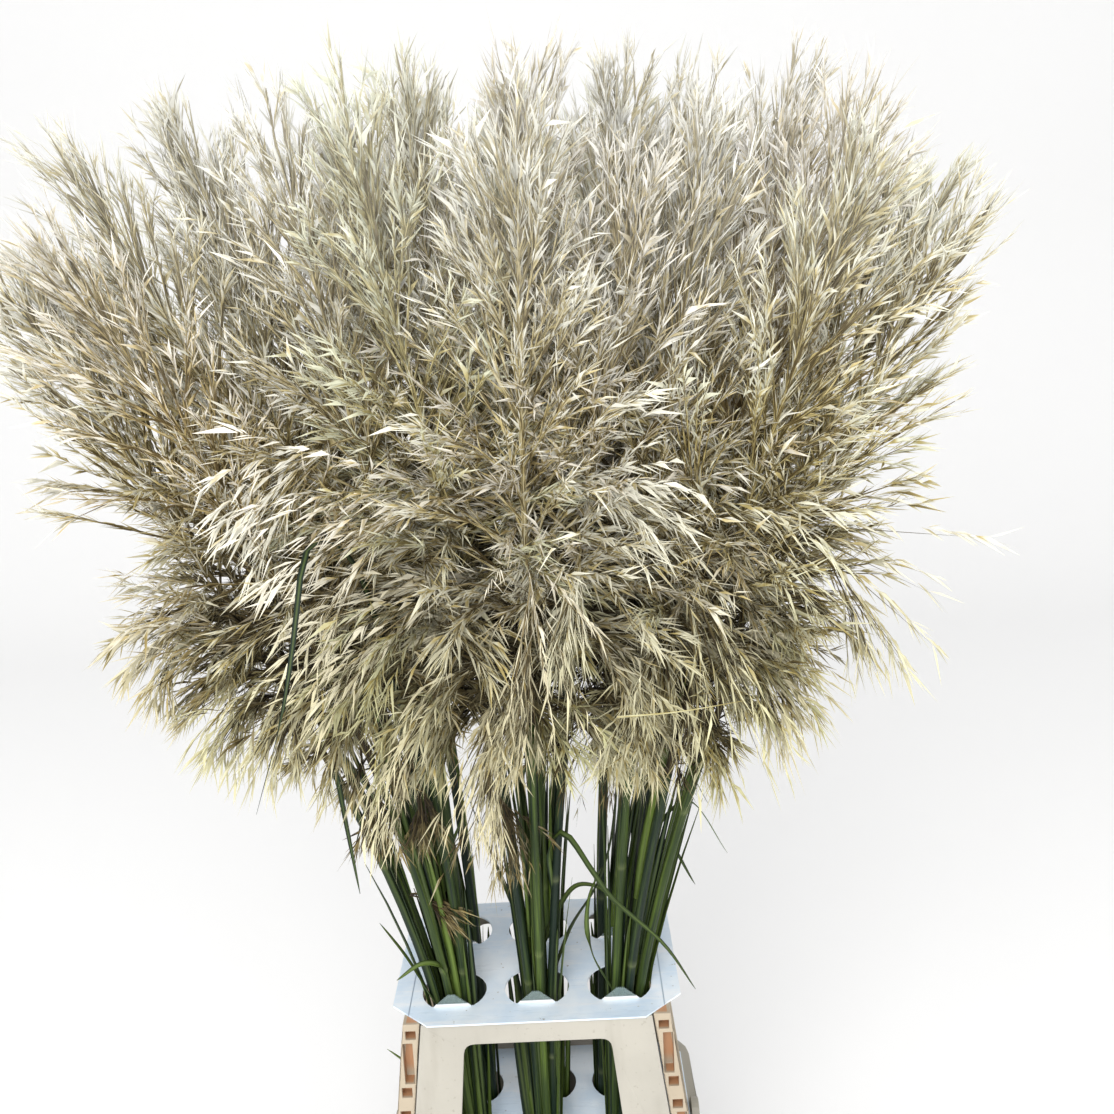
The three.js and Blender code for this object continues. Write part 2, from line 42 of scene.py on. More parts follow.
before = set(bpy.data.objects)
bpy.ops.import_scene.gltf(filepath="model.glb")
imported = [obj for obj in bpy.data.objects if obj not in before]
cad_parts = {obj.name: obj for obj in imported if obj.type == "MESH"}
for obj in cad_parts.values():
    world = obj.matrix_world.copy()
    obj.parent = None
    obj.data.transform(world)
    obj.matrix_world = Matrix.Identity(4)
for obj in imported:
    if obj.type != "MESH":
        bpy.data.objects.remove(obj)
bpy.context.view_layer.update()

# Millimetres, as in the CAD source. Heights g start at the upper sheet's top.
MM = 0.001
SHEET_TOP = 481.9
FOOT = -478.6
UP = np.array([0.0, 0.0, 1.0])

# How the stems of a bunch stand: their radius at the foot and at the neck, half the bunch's width
# along x and y at the upper sheet, and at the foot, which it has from CLOSED_BELOW down, the share
# of its lean that it keeps below the sheet, how it opens with g and g g along x and y, how far a
# stem strays from its place, and the height where it has strayed that far
STEMS_A_BUNCH = 7
STEM_RADIUS = (5.8, 4.5)
SPREAD_AT_SHEET = (17, 15)
SPREAD_AT_FOOT = 8.4
CLOSED_BELOW = -262
STRAIGHTER_BELOW = 0.6
OPENING = ((0.065, 1.0e-4), (0.05, 9e-5))
STRAY = 0.13
STRAY_FULL_AT = 500

# The dome of the plumes' tips: its top, its fall with x and y squared, how uneven the tips are,
# how much of that a bunch's middle one has, and the height where x and y are measured. Then the
# plumes' length, and by what share it differs.
DOME_TOP = 1045
DOME_FALL = (4.6e-4, 8e-4)
DOME_UNEVEN = 75
DOME_UNEVEN_MIDDLE = 0.3
DOME_MEASURED_AT = 900
PLUME_LENGTH = 600
PLUME_UNEVEN = 0.05

# The crown's ellipsoid: its middle, half its widths, and the share of them where its skin begins and
# how deep that is. In the skin the strands turn from few to many, and from dark to pale: painted shade
# deep inside the crown.
CROWN_MIDDLE = (0, 0, 450)
CROWN_HALF = (330, 230, 500)
CROWN_SKIN = (0.2, 0.6)

# The fluff's bottom: its height in the middle, how far it rises, and where it has risen, to the
# left and to the right
FLUFF_BOTTOM = (355, 280, 470, 430)

# Side branches: the share of the plume that has them, the turn from each to the next, and their
# angle in degrees and length at the top, each with what is added lower down
BRANCHED = 0.91
BRANCH_TURN = 2.39996
BRANCH_ANGLE = (7, 60)
BRANCH_LENGTH = (60, 175)
AXIS_SHORTER = 40

# Strands: each bunch's share of them, the share for each back bunch, the bunch whose lower part has
# painted light that makes it paler, and by how much, and how many more of them the axis has for its
# length than a branch has
STRAND_SHARES = {"front_left": 1.1, "front_middle": 1.34, "front_right": 1.1}
BACK_SHARE = 0.82
PAINTED_LIGHT_BUNCH = "front_middle"
PAINTED_LIGHT = 0.6
AXIS_WEIGHT = 3

# The strands that are seen and the inner ones: how many places are tried for each, how far along
# a branch they start, their tilt, sag, length, width, unlikeness and grain, and their growth at
# the root, at the two corners in the middle and at the tip
OUTER = {
    "tries": 1.5, "reach": 1, "tilt": 1, "sag": 1, "long": 1, "wide": 1, "varied": 1, "grain": 1,
    "growth": (0.1, 0.45, 0.45, 1.0),
}
# The inner strands' low growth paints them dark, as the shade inside the crown.
INNER = {
    "tries": 4, "reach": 0.6, "tilt": 0.3, "sag": 0, "long": 1.6, "wide": 2.3, "varied": 0.4,
    "grain": 0.6, "growth": (-0.8, -0.8, -0.8, -0.8),
}

# Fine strands beside the others, where a strand is widest, how thick it may be, and how many more
# twigs a hanging branch has
FINE_LONGER, FINE_THINNER = 1.15, 0.6
WIDEST_AT = 0.35
THICKEST = 0.7
HANGING_TWIGS = 3

# Seeds of the random draws
PLUME_SEED, STEM_SEED, LEAF_SEED, BLADE_SEED = 4100, 900, 500, 100

# name, how far it opens sideways, then place, lean and bend along x and along y
BUNCHES = [
    ("front_left", 1.25, (-103, -0.095, -1.6e-4), (-66, -0.08, -3.5e-5)),
    ("front_middle", 0.9, (5, 0.02, 1e-5), (-66, -0.095, -4.5e-5)),
    ("front_right", 0.98, (110, 0.115, 1.25e-4), (-66, -0.08, -3.5e-5)),
    ("back_left", 1.15, (-100, -0.11, -1.6e-4), (64, 0.07, 4e-5)),
    ("back_middle", 0.86, (10, 0.01, 1e-5), (64, 0.085, 5e-5)),
    ("back_right", 1.0, (98, 0.11, 1.5e-4), (64, 0.07, 4e-5)),
]

# The length of a stem's sheaths, and how far their folds stand out beside the radius
SHEATH_LENGTH = 260.0
SHEATH_FOLD = 0.09

# Sheath blades of each bunch, and how many of them are loose
SHEATHS_A_BUNCH = (48, 50, 38, 38, 38, 38)
LOOSE_BLADES = (15, 27, 15, 15, 15, 15)
BLADE_THICKNESS = 0.8

# Leaves: bunch, stem, height of the root on its stem, and the points x, y, g it passes
LEAVES = [
    (0, 6, 230, [(-118, -140, 380), (-134, -250, 590), (-148, -360, 632),
                 (-156, -404, 571), (-164, -430, 521), (-199, -418, 428)]),
    (0, 5, 230, [(-166, -150, 320), (-188, -176, 372), (-184, -182, 319), (-174, -188, 213)]),
    (0, 4, -20, [(-133, -86, 25), (-151, -95, 74), (-174, -105, 124)]),
    (0, 5, 30, [(-112, -100, 62), (-130, -108, 70), (-158, -120, 58)]),
    (0, 4, -200, [(-125, -35, -172), (-150, -50, -130), (-163, -62, -106), (-185, -84, -62)]),
    (1, 6, 130, [(28, -112, 215), (42, -119, 236), (73, -126, 190), (92, -130, 160),
                 (150, -131, 97), (185, -130, 36)]),
    (1, 1, 10, [(46, -44, 68), (78, -40, 118), (96, -34, 165), (108, -25, 236), (114, -20, 292)]),
    (1, 2, 40, [(36, -32, 96), (54, -26, 113), (76, -20, 108), (97, -16, 88)]),
    (1, 3, 80, [(-32, -45, 127), (-53, -32, 184), (-69, -22, 232), (-78, -15, 270)]),
    (2, 4, -10, [(70, -78, 48), (64, -75, 85), (70, -62, 122), (86, -48, 150)]),
    (2, 1, 100, [(152, -45, 190), (190, -38, 225), (238, -30, 150)]),
    (3, 5, 90, [(-108, 22, 130), (-92, 2, 172), (-70, -4, 225)]),
    (3, 3, 60, [(-168, 108, 175), (-212, 128, 170), (-248, 146, 90)]),
    (4, 2, 60, [(6, 122, 165), (-8, 165, 185), (-22, 205, 110)]),
    (5, 1, 80, [(148, 108, 190), (192, 130, 205), (240, 150, 120)]),
    (5, 6, 30, [(138, 42, 112), (168, 32, 135), (204, 22, 78)]),
    (1, 4, -330, [(-20, -45, -240), (-34, -5, -120), (-40, 10, -12)]),
    (1, 4, -300, [(-14, -45, -220), (-26, -5, -110), (-32, 8, -10)]),
    (1, 3, -310, [(-12, -40, -220), (-20, 0, -100), (-24, 12, -10)]),
    (1, 3, -280, [(-14, -30, -200), (-30, 20, -110), (-37, 30, -24)]),
    (3, 0, -320, [(-84, 70, -200), (-79, 80, -90), (-75, 83, -6)]),
    (3, 0, -300, [(-76, 68, -200), (-71, 78, -90), (-68, 82, -8)]),
    (4, 0, -320, [(-18, 66, -200), (-34, 76, -90), (-40, 82, -8)]),
    (4, 0, -300, [(-10, 66, -200), (-26, 76, -90), (-34, 82, -10)]),
    (5, 0, -320, [(84, 66, -200), (75, 76, -90), (70, 82, -8)]),
    (5, 0, -300, [(90, 66, -200), (84, 76, -90), (78, 82, -10)]),
]

# Leaves that start lower than this are broader
BROAD_BELOW, BROADER = -150, 1.6

# Nodding tufts: bunch, stem, height of the root on its stem, and the points x, y, g where the
# tuft begins, is half way and ends. A tuft has all its strands when it is TUFT_FULL_AT long.
TUFTS = [
    (1, 6, 540, (-10, -225, 640), (-80, -275, 640), (-150, -280, 560)),
    (1, 6, 500, (-35, -230, 560), (-85, -270, 545), (-140, -275, 480)),
    (1, 0, 500, (25, -250, 590), (30, -285, 540), (10, -285, 465)),
    (1, 5, 520, (75, -240, 605), (70, -270, 570), (50, -275, 525)),
    (1, 6, 430, (-30, -220, 505), (-75, -260, 460), (-110, -265, 375)),
    (1, 0, 400, (0, -210, 460), (-15, -250, 410), (-30, -255, 345)),
    (1, 5, 560, (60, -225, 650), (100, -255, 645), (150, -260, 610)),
    (2, 6, 500, (160, -215, 600), (180, -255, 540), (170, -265, 425)),
    (2, 5, 520, (185, -220, 620), (230, -250, 600), (265, -255, 545)),
    (2, 4, 560, (270, -200, 590), (305, -230, 560), (335, -235, 490)),
    (2, 0, 430, (225, -180, 470), (250, -215, 440), (262, -220, 400)),
    (2, 4, 420, (150, -205, 500), (135, -240, 460), (125, -245, 400)),
    (0, 5, 560, (-240, -190, 560), (-285, -225, 545), (-330, -230, 480)),
    (0, 6, 500, (-150, -210, 505), (-195, -245, 475), (-225, -250, 410)),
    (0, 6, 620, (-120, -215, 700), (-160, -250, 690), (-205, -255, 630)),
    (0, 0, 480, (-200, -170, 480), (-250, -205, 455), (-280, -210, 405)),
    (1, 0, 420, (45, -135, 510), (78, -148, 450), (92, -152, 372)),
    (2, 4, 440, (205, -130, 560), (232, -145, 512), (244, -150, 445)),
]
TUFT_FULL_AT = 130
TUFT_TONE = 0.1

# Dry brown tufts, in the same way
DRY_TUFTS = [
    (1, 6, 360, (-26, -150, 318), (-16, -142, 276), (-26, -132, 226)),
    (0, 6, 360, (-112, -150, 345), (-108, -142, 305), (-112, -132, 262)),
    (0, 5, 380, (-165, -150, 340), (-160, -140, 300), (-172, -130, 258)),
    (0, 5, 160, (-138, -100, 156), (-122, -97, 148), (-100, -92, 122)),
    (2, 6, 400, (92, -125, 395), (100, -115, 350), (104, -105, 305)),
]
DRY_TONE = -0.4

# A straw stalk that lies across the front
STALK = [(97, -400, 487), (148, -402, 490), (200, -403, 497)]
STALK_OWNER = "front_right_6"

# How far the top of a plume is moved to its place in the photo, along x and up
TIP_MOVES = {
    "front_left_1": (-32, 0), "front_left_3": (28, 42), "front_left_4": (28, 0),
    "front_left_5": (42, 0), "front_left_6": (-34, 0), "front_middle_1": (0, -12),
    "front_middle_2": (-36, 0), "front_middle_4": (40, 20), "front_right_1": (10, 8),
    "front_right_2": (0, 32), "front_right_3": (0, 42), "front_right_4": (24, 10),
    "front_right_5": (18, 30), "front_right_6": (0, 32), "back_left_6": (42, 25),
    "back_middle_1": (0, 22), "back_middle_2": (-18, 45), "back_middle_3": (24, 45),
    "back_middle_4": (0, 45), "back_middle_5": (42, 14), "back_middle_7": (0, 45),
    "back_right_1": (-40, 42), "back_right_4": (28, 20), "back_right_5": (42, 15),
    "back_right_6": (0, 45),
}

# Plumes that are greener than chance makes them
GREENER = {"front_middle_5": 0.97, "front_left_7": 0.5}

# The collar in metres: its foot's height, half its width and depth there, and how much less they
# are for each metre up, then how far outside the middle of a side's pockets is, and how far
# inside its face. Also how far to the side the sheets' fold is.
COLLAR_FOOT = 0.2406
COLLAR_SIDE = (0.1567, 0.1255)
COLLAR_FACE = (0.1372, 0.0586)
POCKET_MIDDLE = 0.0197
POCKET_FACE = 0.0035
FOLD_X = 0.151

# The key light and the camera: their places in metres, and the camera's turns in degrees
KEY_AT = (-0.5, -3.4, 2.7)
KEY_TO = (0, 0, 1.0)
KEY_WIDTH = 3.6
KEY_COLOUR = (1.0, 0.99, 0.97)
CAMERA_AT = (0.064, -1.240, 1.3289)
CAMERA_YAW = -0.61
CAMERA_DOWN = 14.71
CAMERA_ROLL = -2.98
CAMERA_LENS = 36.03


# Sizes and colours that a user would change


class PampasPlumeSettings(bpy.types.PropertyGroup):
    """Sizes and colours of the plumes."""

    branches: IntProperty(
        name="Branches", default=60, min=8, max=90, description="Side branches on each plume"
    )
    twigs: IntProperty(name="Twigs", default=3, min=1, max=6, description="Twigs on each branch")
    strands: IntProperty(
        name="Strands", default=4440, min=500, max=9000, description="Fluffy strands on each plume"
    )
    inner_strands: IntProperty(
        name="Inner strands", default=310, min=0, description="Large dark strands inside each plume"
    )
    tuft_twigs: IntProperty(
        name="Tuft twigs", default=20, min=3, description="Twigs on each nodding tuft"
    )
    tuft_strands: IntProperty(
        name="Tuft strands", default=260, min=10, description="Strands on each nodding tuft"
    )
    fine_share: FloatProperty(
        name="Fine strands", default=0.35, min=0, max=1, description="Share of single fine strands"
    )
    strand_length: FloatProperty(
        name="Strand length", default=0.024, unit="LENGTH", description="Mean length of a strand"
    )
    strand_width: FloatProperty(
        name="Strand width", default=0.00145, unit="LENGTH", description="Widest place of a strand"
    )
    tip_colour: FloatVectorProperty(
        name="Tips", subtype="COLOR", size=3, default=(0.76, 0.74, 0.65), min=0, max=1,
        description="Colour of the strands' tips",
    )
    straw_colour: FloatVectorProperty(
        name="Straw", subtype="COLOR", size=3, default=(0.54, 0.44, 0.20), min=0, max=1,
        description="Colour of the strands' middles",
    )
    root_colour: FloatVectorProperty(
        name="Roots", subtype="COLOR", size=3, default=(0.095, 0.064, 0.015), min=0, max=1,
        description="Colour near the branches",
    )


class PampasStemSettings(bpy.types.PropertyGroup):
    """Sizes and colours of the stems and leaves."""

    leaf_width: FloatProperty(
        name="Leaf width", default=0.0095, unit="LENGTH", description="Widest place of a leaf"
    )
    leaf_thickness: FloatProperty(
        name="Leaf thickness", default=0.0007, unit="LENGTH", description="Thickness of a leaf"
    )
    bright_colour: FloatVectorProperty(
        name="Yellow green", subtype="COLOR", size=3, default=(0.13, 0.20, 0.025), min=0, max=1,
        description="Lightest green of the stems",
    )
    deep_colour: FloatVectorProperty(
        name="Deep green", subtype="COLOR", size=3, default=(0.004, 0.014, 0.007), min=0, max=1,
        description="Darkest green of the stems",
    )


class PampasHolderSettings(bpy.types.PropertyGroup):
    """Edges and colours of the tub, the collar and the sheets."""

    edge: FloatProperty(
        name="Edge rounding", default=0.0009, unit="LENGTH", description="Rounding of moulded edges"
    )
    plastic_colour: FloatVectorProperty(
        name="Plastic", subtype="COLOR", size=3, default=(0.405, 0.385, 0.335), min=0, max=1,
        description="Beige of the tub and the collar",
    )
    sheet_colour: FloatVectorProperty(
        name="Sheets", subtype="COLOR", size=3, default=(0.84, 0.92, 0.99), min=0, max=1,
        description="Pale blue of the two sheets",
    )


class PampasStageSettings(bpy.types.PropertyGroup):
    """The floor and the light."""

    floor_colour: FloatVectorProperty(
        name="Floor", subtype="COLOR", size=3, default=(0.90, 0.90, 0.90), min=0, max=1,
        description="Colour of the plain floor",
    )
    sky_strength: FloatProperty(name="Sky", default=0.96, min=0, description="Light from all round")
    key_power: FloatProperty(name="Key light", default=148, min=0, description="Watts of the key light")


# Meshes


def unit(vectors):
    """Each vector divided by its length."""
    return vectors / np.maximum(np.linalg.norm(vectors, axis=-1, keepdims=True), 1e-12)


def stacked(*parts):
    """Numbers or arrays, spread to one size, side by side in the last axis of a new array."""
    return np.stack(np.broadcast_arrays(*parts), axis=-1)


def make_piece(name, points, faces, material, colours=None, grain=None, smooth=False):
    """A mesh object that rides on the root body. "faces" is a list of index tables with three
    or four columns. "colours" is the point colour "growth", and "grain" a point vector."""
    mesh = bpy.data.meshes.new(name)
    tables = [table for table in faces if len(table)]
    corners = np.concatenate([table.ravel() for table in tables]).astype(np.int32)
    totals = np.concatenate([np.full(len(table), table.shape[1]) for table in tables])
    starts = np.concatenate([[0], np.cumsum(totals)[:-1]]).astype(np.int32)
    mesh.vertices.add(len(points))
    mesh.vertices.foreach_set("co", points.astype(np.float32).ravel())
    mesh.loops.add(len(corners))
    mesh.loops.foreach_set("vertex_index", corners)
    mesh.polygons.add(len(totals))
    mesh.polygons.foreach_set("loop_start", starts)
    mesh.polygons.foreach_set("use_smooth", np.full(len(totals), smooth))
    mesh.update(calc_edges=True)
    if colours is not None:
        layer = mesh.attributes.new("growth", "FLOAT_COLOR", "POINT")
        layer.data.foreach_set("color", colours.astype(np.float32).ravel())
    if grain is not None:
        layer = mesh.attributes.new("grain", "FLOAT_VECTOR", "POINT")
        layer.data.foreach_set("vector", grain.astype(np.float32).ravel())
    mesh.validate()
    mesh.materials.append(material)
    piece = bpy.data.objects.new(name, mesh)
    bpy.context.scene.collection.objects.link(piece)
    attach(piece, "root")
    return piece


def frames_along(paths):
    """Tangent, side and normal along each path. The side stays level and square to the
    path's start, so a path that bends down under its weight isn't twisted."""
    tangent = unit(np.gradient(paths, axis=1))
    level = np.cross(tangent[:, 0], UP)
    flat = np.linalg.norm(level, axis=1) < 1e-4
    level[flat] = (1.0, 0.0, 0.0)
    side = np.repeat(unit(level)[:, None], paths.shape[1], axis=1)
    side = unit(side - tangent * np.sum(side * tangent, axis=2, keepdims=True))
    return tangent, side, np.cross(side, tangent)


def grid_faces(count, rings, sides):
    """Quads between the rings of each of several closed tubes, and both of their ends."""
    k, m = np.meshgrid(np.arange(rings - 1), np.arange(sides), indexing="ij")
    a = (k * sides + m).ravel()
    b = (k * sides + (m + 1) % sides).ravel()
    wall = np.stack([a, b, b + sides, a + sides], axis=1)
    fan = np.arange(1, sides - 1)
    last = (rings - 1) * sides
    low = np.stack([np.zeros_like(fan), fan + 1, fan], axis=1)
    high = np.stack([np.full_like(fan, last), last + fan, last + fan + 1], axis=1)
    each = (np.arange(count) * rings * sides)[:, None, None]
    quads = (wall[None] + each).reshape(-1, 4)
    caps = (np.concatenate([low, high])[None] + each).reshape(-1, 3)
    return quads, caps


def tubes(paths, radii, sides):
    """A round profile carried along each path: path + radius (cos a side + sin a normal). Also
    gives the grain's vector, (radius cos a, radius sin a, distance along the path)."""
    _, side, normal = frames_along(paths)
    angle = np.arange(sides) * 2 * math.pi / sides
    cos, sin = np.cos(angle), np.sin(angle)
    ring = cos[:, None] * side[:, :, None] + sin[:, None] * normal[:, :, None]
    points = paths[:, :, None] + radii[..., None, None] * ring
    steps = np.linalg.norm(np.diff(paths, axis=1), axis=2)
    run = np.concatenate([np.zeros((len(paths), 1)), np.cumsum(steps, axis=1)], axis=1)
    widest = radii.max(axis=1)[:, None, None]
    grain = stacked(widest * cos, widest * sin, run[..., None])
    count, rings = paths.shape[:2]
    quads, caps = grid_faces(count, rings, sides)
    return points.reshape(-1, 3), quads, caps, grain.reshape(-1, 3)


def spindles(roots, directions, lengths, widths, rolls, bends=0):
    """Closed four-cornered strands: a point at each end, and two corners where the strand is
    widest, at root + 0.35 length direction + thickness normal, either side of the middle. The
    tip is at root + length (direction + bend). Also gives the grain's vector, (distance
    across, 0, distance along)."""
    side = unit(np.cross(directions, UP + 0.01))
    normal = np.cross(side, directions)
    cos, sin = np.cos(rolls)[:, None], np.sin(rolls)[:, None]
    across = cos * side + sin * normal
    out = np.cross(across, directions)
    thick = np.minimum(0.35 * widths, THICKEST)[:, None]
    middle = roots + directions * (WIDEST_AT * lengths)[:, None] + out * thick
    half = across * (0.5 * widths)[:, None]
    tips = roots + (directions + bends) * lengths[:, None]
    points = np.stack([roots, middle - half, middle + half, tips], axis=1)
    aside, along = np.array([0, -0.5, 0.5, 0]), np.array([0, WIDEST_AT, WIDEST_AT, 1])
    grain = stacked(widths[:, None] * aside, 0, lengths[:, None] * along)
    pattern = np.array([[0, 1, 2], [3, 2, 1], [0, 2, 3], [0, 3, 1]])
    faces = pattern[None] + (np.arange(len(roots)) * 4)[:, None, None]
    return points.reshape(-1, 3), faces.reshape(-1, 3), grain


# Where the stems run, by the CAD source's formulas


def chance(a, b):
    """A repeatable number from 0 to 1, the same as the CAD source's: the fraction of
    43758.5453 sin(127.1 a + 311.7 b + 17.3)."""
    wave = math.sin(a * 127.1 + b * 311.7 + 17.3) * 43758.5453
    return wave - math.floor(wave)


class Plant:
    """One stem with its plume. Its place in the bunch is on a ring, or in the middle."""

    def __init__(self, bunch, stem):
        self.bunch_name, self.wide, self.x, self.y = BUNCHES[bunch]
        self.name = f"{self.bunch_name}_{stem + 1}"
        self.index = bunch * STEMS_A_BUNCH + stem
        angle = (stem - 0.5) / (STEMS_A_BUNCH - 1) * 2 * math.pi
        self.place = (0, 0) if stem == 0 else (math.cos(angle), math.sin(angle))
        self.stray = [2 * chance(self.index, k) - 1 for k in (1, 2)]
        reach = self.at(DOME_MEASURED_AT)
        fall = DOME_FALL[0] * reach[0] ** 2 + DOME_FALL[1] * reach[1] ** 2
        uneven = DOME_UNEVEN * (DOME_UNEVEN_MIDDLE if stem == 0 else 1)
        self.tip = DOME_TOP - fall - uneven * chance(self.index, 3)
        rise = self.direction(self.tip - PLUME_LENGTH / 2)[2]
        longer = 1 + PLUME_UNEVEN * (2 * chance(self.index, 4) - 1)
        self.neck = self.tip - PLUME_LENGTH * rise * longer

    def at(self, g, place=None):
        """Bunch centre (place + lean g + bend g g) + (place in the bunch) (half width of the
        bunch, which opens with g and g g above the sheet and closes below it)."""
        place = self.place if place is None else place
        g = np.asarray(g, float)
        above = np.maximum(g, 0)
        run = np.where(g > 0, g, g * STRAIGHTER_BELOW)
        below = np.clip(g / CLOSED_BELOW, 0, 1)
        strayed = STRAY * np.clip(g / STRAY_FULL_AT, 0, 1)
        out = []
        for axis, (start, lean, bend) in enumerate((self.x, self.y)):
            wide = self.wide if axis == 0 else 1
            half = SPREAD_AT_SHEET[axis] * wide
            half = half + below * (SPREAD_AT_FOOT - half)
            first, second = OPENING[axis]
            half = half + wide * (first * above + second * above**2)
            centre = start + lean * run + bend * above**2
            out.append(centre + (place[axis] + strayed * self.stray[axis]) * half)
        return np.stack([*out, g], axis=-1)

    def direction(self, g):
        """The stem's direction, from two points 5 mm above and below."""
        g = np.asarray(g, float)
        return unit(self.at(g + 5) - self.at(g - 5))


PLANTS = [Plant(b, stem) for b in range(len(BUNCHES)) for stem in range(STEMS_A_BUNCH)]


def placed(points):
    """Millimetres above the upper sheet turned into metres above the ground."""
    return (points + np.array([0, 0, SHEET_TOP])) * MM


# Plumes


def drooping_paths(roots, starts, lengths, droops, sways, steps):
    """Curves that set out along "starts" and bend down under their weight: the direction at
    share s is unit(start - droop s^1.6 up + sway s), and the curve is its running sum."""
    s = (np.arange(steps) + 0.5) / steps
    bend = droops[:, None, None] * (s**1.6)[None, :, None] * UP
    directions = unit(starts[:, None] - bend + sways[:, None] * s[None, :, None])
    run = np.cumsum(directions, axis=1) * (lengths / steps)[:, None, None]
    return np.concatenate([roots[:, None], roots[:, None] + run], axis=1)


def on_paths(paths, which, share):
    """Points and directions at a share of the length of the chosen paths."""
    steps = paths.shape[1] - 1
    k = np.minimum((share * steps).astype(int), steps - 1)
    a, b = paths[which, k], paths[which, k + 1]
    return a + (b - a) * (share * steps - k)[:, None], unit(b - a)


def leaning_from(directions, tilt, turn):
    """Directions tilted by tan(tilt) towards an angle "turn" round themselves."""
    side = unit(np.cross(directions, UP + 0.01))
    normal = np.cross(side, directions)
    off = np.cos(turn)[:, None] * side + np.sin(turn)[:, None] * normal
    return unit(directions + tilt[:, None] * off)


def plume_branches(plant, rng, count):
    """Side branches. At share t of the plume the angle from the axis is 7 + 60 (1 - t) degrees,
    and the length (60 + 175 (1 - t)^0.75) (1 - 0.5 (1 - t)^3) mm, but at most 32 mm more than
    0.9 of the plume above it, and less for the lowest. The upper ones bend up a little, the
    lower ones droop, and some of them hang. Those that would end below the fluff's bottom,
    which rises as the fourth power of x, are made smaller."""
    t = (np.arange(count) + rng.random(count)) / count * BRANCHED
    g = plant.neck + (plant.tip - plant.neck) * t
    along = plant.direction(g)
    turn = np.arange(count) * BRANCH_TURN + rng.random(count) * 0.9
    side = unit(np.cross(along, UP + np.array([0.01, 0.02, 0])))
    out = np.cos(turn)[:, None] * side + np.sin(turn)[:, None] * np.cross(side, along)
    angle = np.radians(BRANCH_ANGLE[0] + BRANCH_ANGLE[1] * (1 - t) + rng.normal(0, 5, count))
    starts = np.cos(angle)[:, None] * along + np.sin(angle)[:, None] * out
    lengths = BRANCH_LENGTH[0] + BRANCH_LENGTH[1] * (1 - t) ** 0.75
    lengths = lengths * (1 - 0.5 * (1 - t) ** 3)
    lengths = np.minimum(lengths, 32 + 0.9 * PLUME_LENGTH * (1 - t))
    lengths = lengths * (1 + rng.uniform(-0.15, 0.15, count))
    hang = np.clip(1.25 - t / 0.3, 0, 1) * (rng.random(count) < 0.6)
    lengths = lengths * (1 + 0.2 * hang) * np.clip(0.6 + 4 * t, 0, 1)
    droops = 1.1 * (1 - t) ** 2 * rng.uniform(0.5, 1.3, count) + 1.5 * hang
    droops = droops + 0.1 - 0.3 * np.clip((t - 0.35) / 0.4, 0, 1)
    sways = rng.normal(0, 0.13, (count, 3))
    paths = drooping_paths(plant.at(g), starts, lengths, droops, sways, 6)
    ends = paths[:, -1]
    lowest, rise, left, right = FLUFF_BOTTOM
    aside = ends[:, 0] / np.where(ends[:, 0] < 0, left, right)
    room = paths[:, 0, 2] - lowest - rise * aside**4
    short = np.clip(room / np.maximum(paths[:, 0, 2] - ends[:, 2], 1), 0.35, 1)
    paths = paths[:, :1] + (paths - paths[:, :1]) * short[:, None, None]
    return t, lengths * short, droops, hang, paths


def outwardness(points):
    """How near the crown's outside a point is, from 0 to 1, by its distance from the middle of
    an ellipsoid round the crown."""
    place = (points - CROWN_MIDDLE) / CROWN_HALF
    begun, deep = CROWN_SKIN
    return np.clip((np.linalg.norm(place, axis=1) - begun) / deep, 0, 1)


class Carriers:
    """Paths that strands grow on: their lengths, how much each hangs, the share of the branch at which
    it starts, and how low in the plume it is, which ruffles it and darkens it with painted shade."""

    def __init__(self, paths, lengths, hang, begun, low):
        self.paths, self.lengths, self.hang, self.begun, self.low = paths, lengths, hang, begun, low


